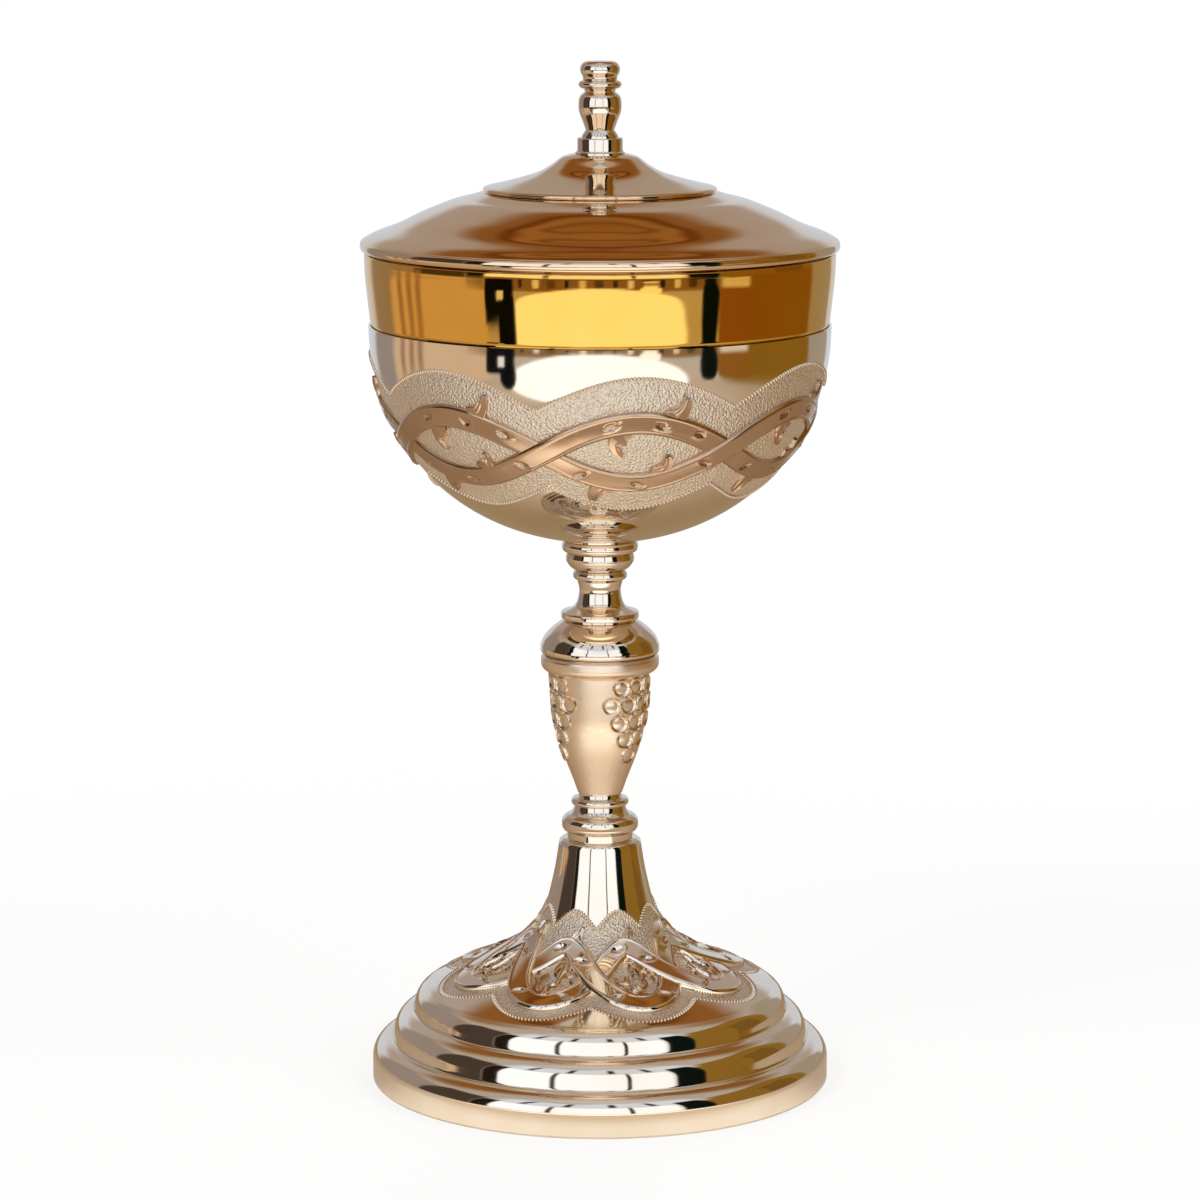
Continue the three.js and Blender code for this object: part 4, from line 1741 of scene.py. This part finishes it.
@dataclass(frozen=True)
class Card:
    """A painted patch of the surround, which the polish mirrors as painted reflection.

    Its middle is given as degrees round from the front and degrees up, and its half sizes in
    degrees. Squareness runs from 2 for an oval to 12 for a sharp-cornered panel.
    """

    name: str
    azimuth: float
    rise: float
    half_wide: float
    half_high: float
    colour: str
    strength: float = 1.0
    soft: float = 0.12
    squareness: float = 8.0

    def cover(self, azimuth: np.ndarray, rise: np.ndarray) -> np.ndarray:
        """Gives how far the card covers each direction.

        Args:
            azimuth: Degrees round from the front.
            rise: Degrees up.

        Returns:
            Shares from 0 to 1.
        """
        across = np.abs((azimuth - self.azimuth + 180.0) % 360.0 - 180.0) / self.half_wide
        tall = np.abs(rise - self.rise) / self.half_high
        distance = (across ** self.squareness + tall ** self.squareness) ** (1.0 / self.squareness)
        return smooth_step((1.0 + self.soft - distance) / (2.0 * self.soft))


# The polish mirrors painted reflection: cards for a table below, boards above, a window in front and
# furniture at the sides, with painted glare and shade among them.
# Each later card lies over the earlier ones.
ROOM_CARDS = (
    Card("table", 0.0, -60.0, 400.0, 41.0, "A08A6C", soft=0.05),
    Card("table_sides", 0.0, -58.0, 120.0, 40.0, "B8A592", soft=0.25),
    Card("table_front", 0.0, -54.0, 66.0, 38.0, "DCCFC2", soft=0.6, squareness=2.5),
    Card("table_middle", 0.0, -41.0, 80.0, 11.0, "BBA894", soft=0.35, squareness=4.0),
    Card("table_near", 0.0, -67.0, 60.0, 10.0, "E4D2BC", soft=0.4, squareness=3.0),
    Card("glare_by_foot", 0.0, -54.0, 50.0, 6.0, "FFFBF4", strength=1.9, soft=0.6, squareness=3.0),
    Card("glare_on_hem", 0.0, -74.0, 60.0, 3.5, "FFF8F0", strength=1.05, soft=0.4),
    Card("wall_behind", 180.0, 8.0, 34.0, 26.0, "D2DAE8", soft=0.25),
    Card("wall_behind_high", 180.0, 27.0, 44.0, 10.0, "B0A6A2", soft=0.4),
    Card("wall_left", -122.0, 8.0, 24.0, 28.0, "9A9090", soft=0.15),
    Card("screen_left", -84.0, 12.0, 17.0, 30.0, "4A4039", soft=0.1),
    Card("chest_left", -88.0, -13.0, 34.0, 7.0, "D6BCA0", soft=0.1),
    Card("cupboard_right", 92.0, 12.0, 34.0, 32.0, "8E6C2C", soft=0.06),
    Card("cupboard_door", 104.0, 8.0, 11.0, 22.0, "7C5C28", soft=0.05, squareness=12.0),
    Card("chest_right", 92.0, -11.0, 34.0, 6.0, "8A621C", soft=0.1),
    Card("wall_right", 138.0, 8.0, 14.0, 24.0, "A49B8F", soft=0.15),
    Card("ceiling", 0.0, 82.0, 400.0, 17.0, "B9ADA8", soft=0.15),
    Card("ceiling_front", 0.0, 74.0, 62.0, 12.0, "CFC9D2", soft=0.3),
    Card("ceiling_boards", 180.0, 55.0, 66.0, 17.0, "8C5E30", soft=0.32, squareness=3.0),
    Card("arch_shade", 180.0, 54.0, 24.0, 9.5, "6E3F12", soft=0.1, squareness=2.5),
    Card("arch_board", 180.0, 54.0, 20.0, 7.0, "9C6A34", soft=0.1, squareness=2.5),
    Card("arch_shade", 180.0, 54.0, 14.0, 4.6, "7A4A1C", soft=0.15, squareness=2.5),
    Card("arch_board", 180.0, 54.0, 11.5, 3.4, "94622E", soft=0.15, squareness=2.5),
    Card("skylight", 180.0, 77.0, 24.0, 7.0, "D8E8FC", soft=0.3, squareness=3.0),
    Card("window", -9.0, 15.0, 51.0, 21.0, "E4EEFF", strength=1.5, soft=0.06),
    Card("window_high", 0.0, 47.0, 62.0, 14.0, "DCE8FF", strength=1.05, soft=0.12),
    Card("blind", -34.0, 61.0, 30.0, 5.0, "BEC4C9", soft=0.3),
    *(Card("roof_beam", azimuth, 46.0, 2.2, 9.0, "33281F", soft=0.5)
      for azimuth in (-45.0, -19.0, 7.0, 31.0)),
    Card("shelf_front", 0.0, -6.5, 60.0, 3.0, "8E6C48", soft=0.2),
    *(Card("shelf_jar", -38.0 + 7.5 * place, -6.0, 1.1 + 0.5 * (place % 3), 2.0, colour, 1.0, 0.2, 4.0)
      for place, colour in enumerate(("3A2C20", "F2EEE6", "6A4A2C", "20242A", "E8D8BC", "54402C") * 2)),
    Card("lit_cloth", -1.0, -19.6, 44.0, 11.6, "F4F8FF", strength=1.5, soft=0.04, squareness=2.05),
    Card("tin_lid", 60.0, -5.4, 4.0, 1.1, "7FB0AE", soft=0.2),
    Card("cloth_fold", 24.0, -9.0, 5.0, 1.6, "F8F4EC", strength=1.4, soft=0.1, squareness=3.0),
    Card("dark_door", 51.0, 19.0, 8.5, 25.0, "0C1512", soft=0.08),
    Card("dark_jar", 54.0, -12.5, 4.6, 6.6, "0C1512", soft=0.08, squareness=3.0),
    Card("carton", 68.0, -13.0, 8.5, 5.0, "8E5E22", soft=0.06),
    Card("carton_top", 68.0, -7.2, 8.0, 1.2, "E2D4C0", soft=0.2),
    Card("dark_curtain", -62.0, 16.0, 5.0, 22.0, "241C18", soft=0.15),
    Card("dark_box", -49.0, -11.0, 7.5, 5.4, "101014", soft=0.06),
    Card("dark_box_foot", -45.0, -17.0, 4.4, 6.5, "101014", soft=0.1, squareness=2.2),
    Card("box_label", -48.5, -11.5, 1.8, 2.0, "F0F0F0"),
    *(Card("pleat", azimuth, -10.0, 2.0, 7.0, "A5836C", 1.0, 0.9, 3.0)
      for azimuth in (-98.0, -105.0, -113.0)),
    Card("glazing_bar", -26.0, 16.0, 1.4, 19.0, "2A2622", soft=0.4),
    Card("glazing_bar", 16.0, 16.0, 1.2, 19.0, "2A2622", soft=0.4),
    Card("window_sill", -9.0, -4.0, 52.0, 1.2, "7C6650", soft=0.3),
)


@dataclass
class Studio:
    """The floor, the lamps, the painted surround, the world and the camera, in metres.

    The camera sees the floor brighten from near to far until it is white, and the world lights the
    object by less than it shows.
    """

    distance: float = 9.0
    eye: float = 0.2
    step: float = 0.8
    lowest: float = -74.0
    wall_colour: str = "B9B2AC"
    floor_size: float = 60.0
    floor_glow: float = 0.74
    floor_near: tuple[float, float] = (0.2, 1.04)
    floor_far: tuple[float, float] = (1.6, 1.19)
    world_light: float = 0.55
    lamp_aim: float = 0.13
    lens: float = 130.5
    sensor: float = 36.0
    camera_place: tuple[float, float, float] = (0.0, -1.086, 0.3155)
    camera_tilt: float = 80.0

    def _surround(self) -> None:
        """Builds the painted surround, a dome over a table that only the polish sees."""
        azimuths = np.arange(0.0, 360.0, self.step)
        rises = np.arange(self.lowest, 90.0, self.step)
        azimuth, rise = np.meshgrid(azimuths, rises)
        colour = np.ones((*azimuth.shape, 4)) * linear(self.wall_colour)
        for card in ROOM_CARDS:
            cover = card.cover(azimuth, rise)[..., None]
            paint = np.array(linear(card.colour)) * card.strength
            colour = colour * (1.0 - cover) + paint * cover
            log.debug("surround: %s", card.name)
        turn, tilt = np.radians(azimuth), np.radians(rise)
        to_table = (self.eye - 0.5 * MM) / np.sin(-tilt).clip(1e-6)
        reach = np.where(tilt < 0.0, np.minimum(self.distance, to_table), self.distance)
        flat = np.cos(tilt) * reach
        height = self.eye + np.sin(tilt) * reach
        points = np.stack([flat * np.sin(turn), -flat * np.cos(turn), height], axis=-1)
        item = new_piece("surround", points.reshape(-1, 3), [], grid_faces(*azimuth.shape, False, True))
        paint = item.data.color_attributes.new("paint", "FLOAT_COLOR", "POINT")
        paint.data.foreach_set("color", colour.ravel())
        item.data.shade_smooth()
        made, tree = bare_material("surround_painted")
        mark = add_node(tree, "ShaderNodeAttribute", attribute_name="paint")
        glow = add_node(tree, "ShaderNodeEmission", {"Color": mark.outputs["Color"]})
        add_node(tree, "ShaderNodeOutputMaterial", {"Surface": glow.outputs[0]})
        item.data.materials.append(made)
        item.visible_camera = False
        item.visible_diffuse = False
        item.visible_shadow = False

    def _floor(self) -> None:
        """Lays the pale floor, which keeps the object's shadow."""
        size = self.floor_size
        corners = np.array([(-size, -size, 0), (size, -size, 0), (size, size, 0), (-size, size, 0)], float)
        item = new_piece("floor", corners, [], [(0, 1, 2, 3)])
        made, tree = bare_material("floor_paper_matt_white")
        paper = add_node(tree, "ShaderNodeBsdfDiffuse", {"Color": linear("F2F0EE")})
        away = add_node(tree, "ShaderNodeVectorMath", {
            0: add_node(tree, "ShaderNodeTexCoord").outputs["Object"],
        }, operation="LENGTH")
        strength = add_node(tree, "ShaderNodeMapRange", {
            "Value": away.outputs["Value"],
            "From Min": self.floor_near[0],
            "From Max": self.floor_far[0],
            "To Min": self.floor_near[1],
            "To Max": self.floor_far[1],
        })
        seen = add_node(tree, "ShaderNodeEmission", {
            "Color": linear("FFFFFF"),
            "Strength": strength.outputs["Result"],
        })
        path = add_node(tree, "ShaderNodeLightPath")
        share = add_node(tree, "ShaderNodeMath", {
            0: path.outputs["Is Camera Ray"],
            1: self.floor_glow,
        }, operation="MULTIPLY")
        mixed = add_node(tree, "ShaderNodeMixShader", {
            0: share.outputs[0],
            1: paper.outputs[0],
            2: seen.outputs[0],
        })
        add_node(tree, "ShaderNodeOutputMaterial", {"Surface": mixed.outputs[0]})
        item.data.materials.append(made)

    def _world(self) -> None:
        """Sets a white surround that is seen and mirrored, and lights a little less strongly."""
        world = bpy.data.worlds.new("pale_surround")
        world.use_nodes = True
        tree = world.node_tree
        tree.nodes.clear()
        path = add_node(tree, "ShaderNodeLightPath")
        seen = add_node(tree, "ShaderNodeMath", {
            0: path.outputs["Is Camera Ray"],
            1: path.outputs["Is Glossy Ray"],
        }, operation="MAXIMUM")
        seen = add_node(tree, "ShaderNodeMath", {
            0: seen.outputs[0],
            1: path.outputs["Is Transmission Ray"],
        }, operation="MAXIMUM")
        strength = add_node(tree, "ShaderNodeMapRange", {
            "Value": seen.outputs[0],
            "To Min": self.world_light,
            "To Max": 1.0,
        })
        ground = add_node(tree, "ShaderNodeBackground", {
            "Color": linear("FFFFFF"),
            "Strength": strength.outputs[0],
        })
        add_node(tree, "ShaderNodeOutputWorld", {"Surface": ground.outputs[0]})
        bpy.context.scene.world = world

    def _lamp(self, name: str, place: tuple[float, float, float], size: float, power: float) -> None:
        """Hangs a square soft lamp that looks at the middle of the object.

        Args:
            name: The lamp's name.
            place: Where it hangs.
            size: The length of its side.
            power: Its power in watts.
        """
        data = bpy.data.lights.new(name, "AREA")
        data.shape, data.size, data.energy = "SQUARE", size, power
        item = bpy.data.objects.new(name, data)
        bpy.context.scene.collection.objects.link(item)
        item.location = place
        item.visible_glossy = False
        toward = np.array([0.0, 0.0, self.lamp_aim]) - np.array(place)
        item.rotation_euler = (
            math.acos(-toward[2] / np.linalg.norm(toward)),
            0.0,
            math.atan2(toward[1], toward[0]) - math.pi / 2.0,
        )

    def _camera(self) -> None:
        """Sets the camera at the photograph's distance, height and tilt."""
        data = bpy.data.cameras.new("camera")
        data.sensor_width, data.lens = self.sensor, self.lens
        item = bpy.data.objects.new("camera", data)
        bpy.context.scene.collection.objects.link(item)
        item.location = self.camera_place
        item.rotation_euler = (math.radians(self.camera_tilt), 0.0, 0.0)
        bpy.context.scene.camera = item

    def build(self) -> None:
        """Builds the studio."""
        self._camera()
        self._world()
        self._floor()
        self._surround()
        self._lamp("key_lamp", (-0.9, -0.9, 1.3), 0.7, 9.0)
        self._lamp("fill_lamp", (1.1, -0.6, 1.1), 0.8, 6.0)
        self._lamp("back_lamp", (0.2, 1.2, 1.2), 0.8, 5.0)
        bpy.context.scene.view_settings.view_transform = "Standard"


def main() -> None:
    """Builds the studio and every sub-assembly, from the foot up."""
    logging.basicConfig(level=logging.INFO, format="%(name)s: %(message)s")
    shop, finishes = Workshop(), Finishes()
    Studio().build()
    for assembly in (Foot, Stem, Cup, Lid):
        assembly(shop, finishes).build()
    fittings = {
        "foot_washer": finishes.steel,
        "foot_nut": finishes.steel,
        "tie_rod": finishes.steel,
        "cup_boss": finishes.brass,
        "finial_washer": finishes.brass,
        "finial_nut": finishes.brass,
    }
    for name, finish in fittings.items():
        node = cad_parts[name]
        node.data.materials.clear()
        node.data.materials.append(finish)
        log.info("%s: %s", name, finish.name)


if __name__ == "__main__":
    main()
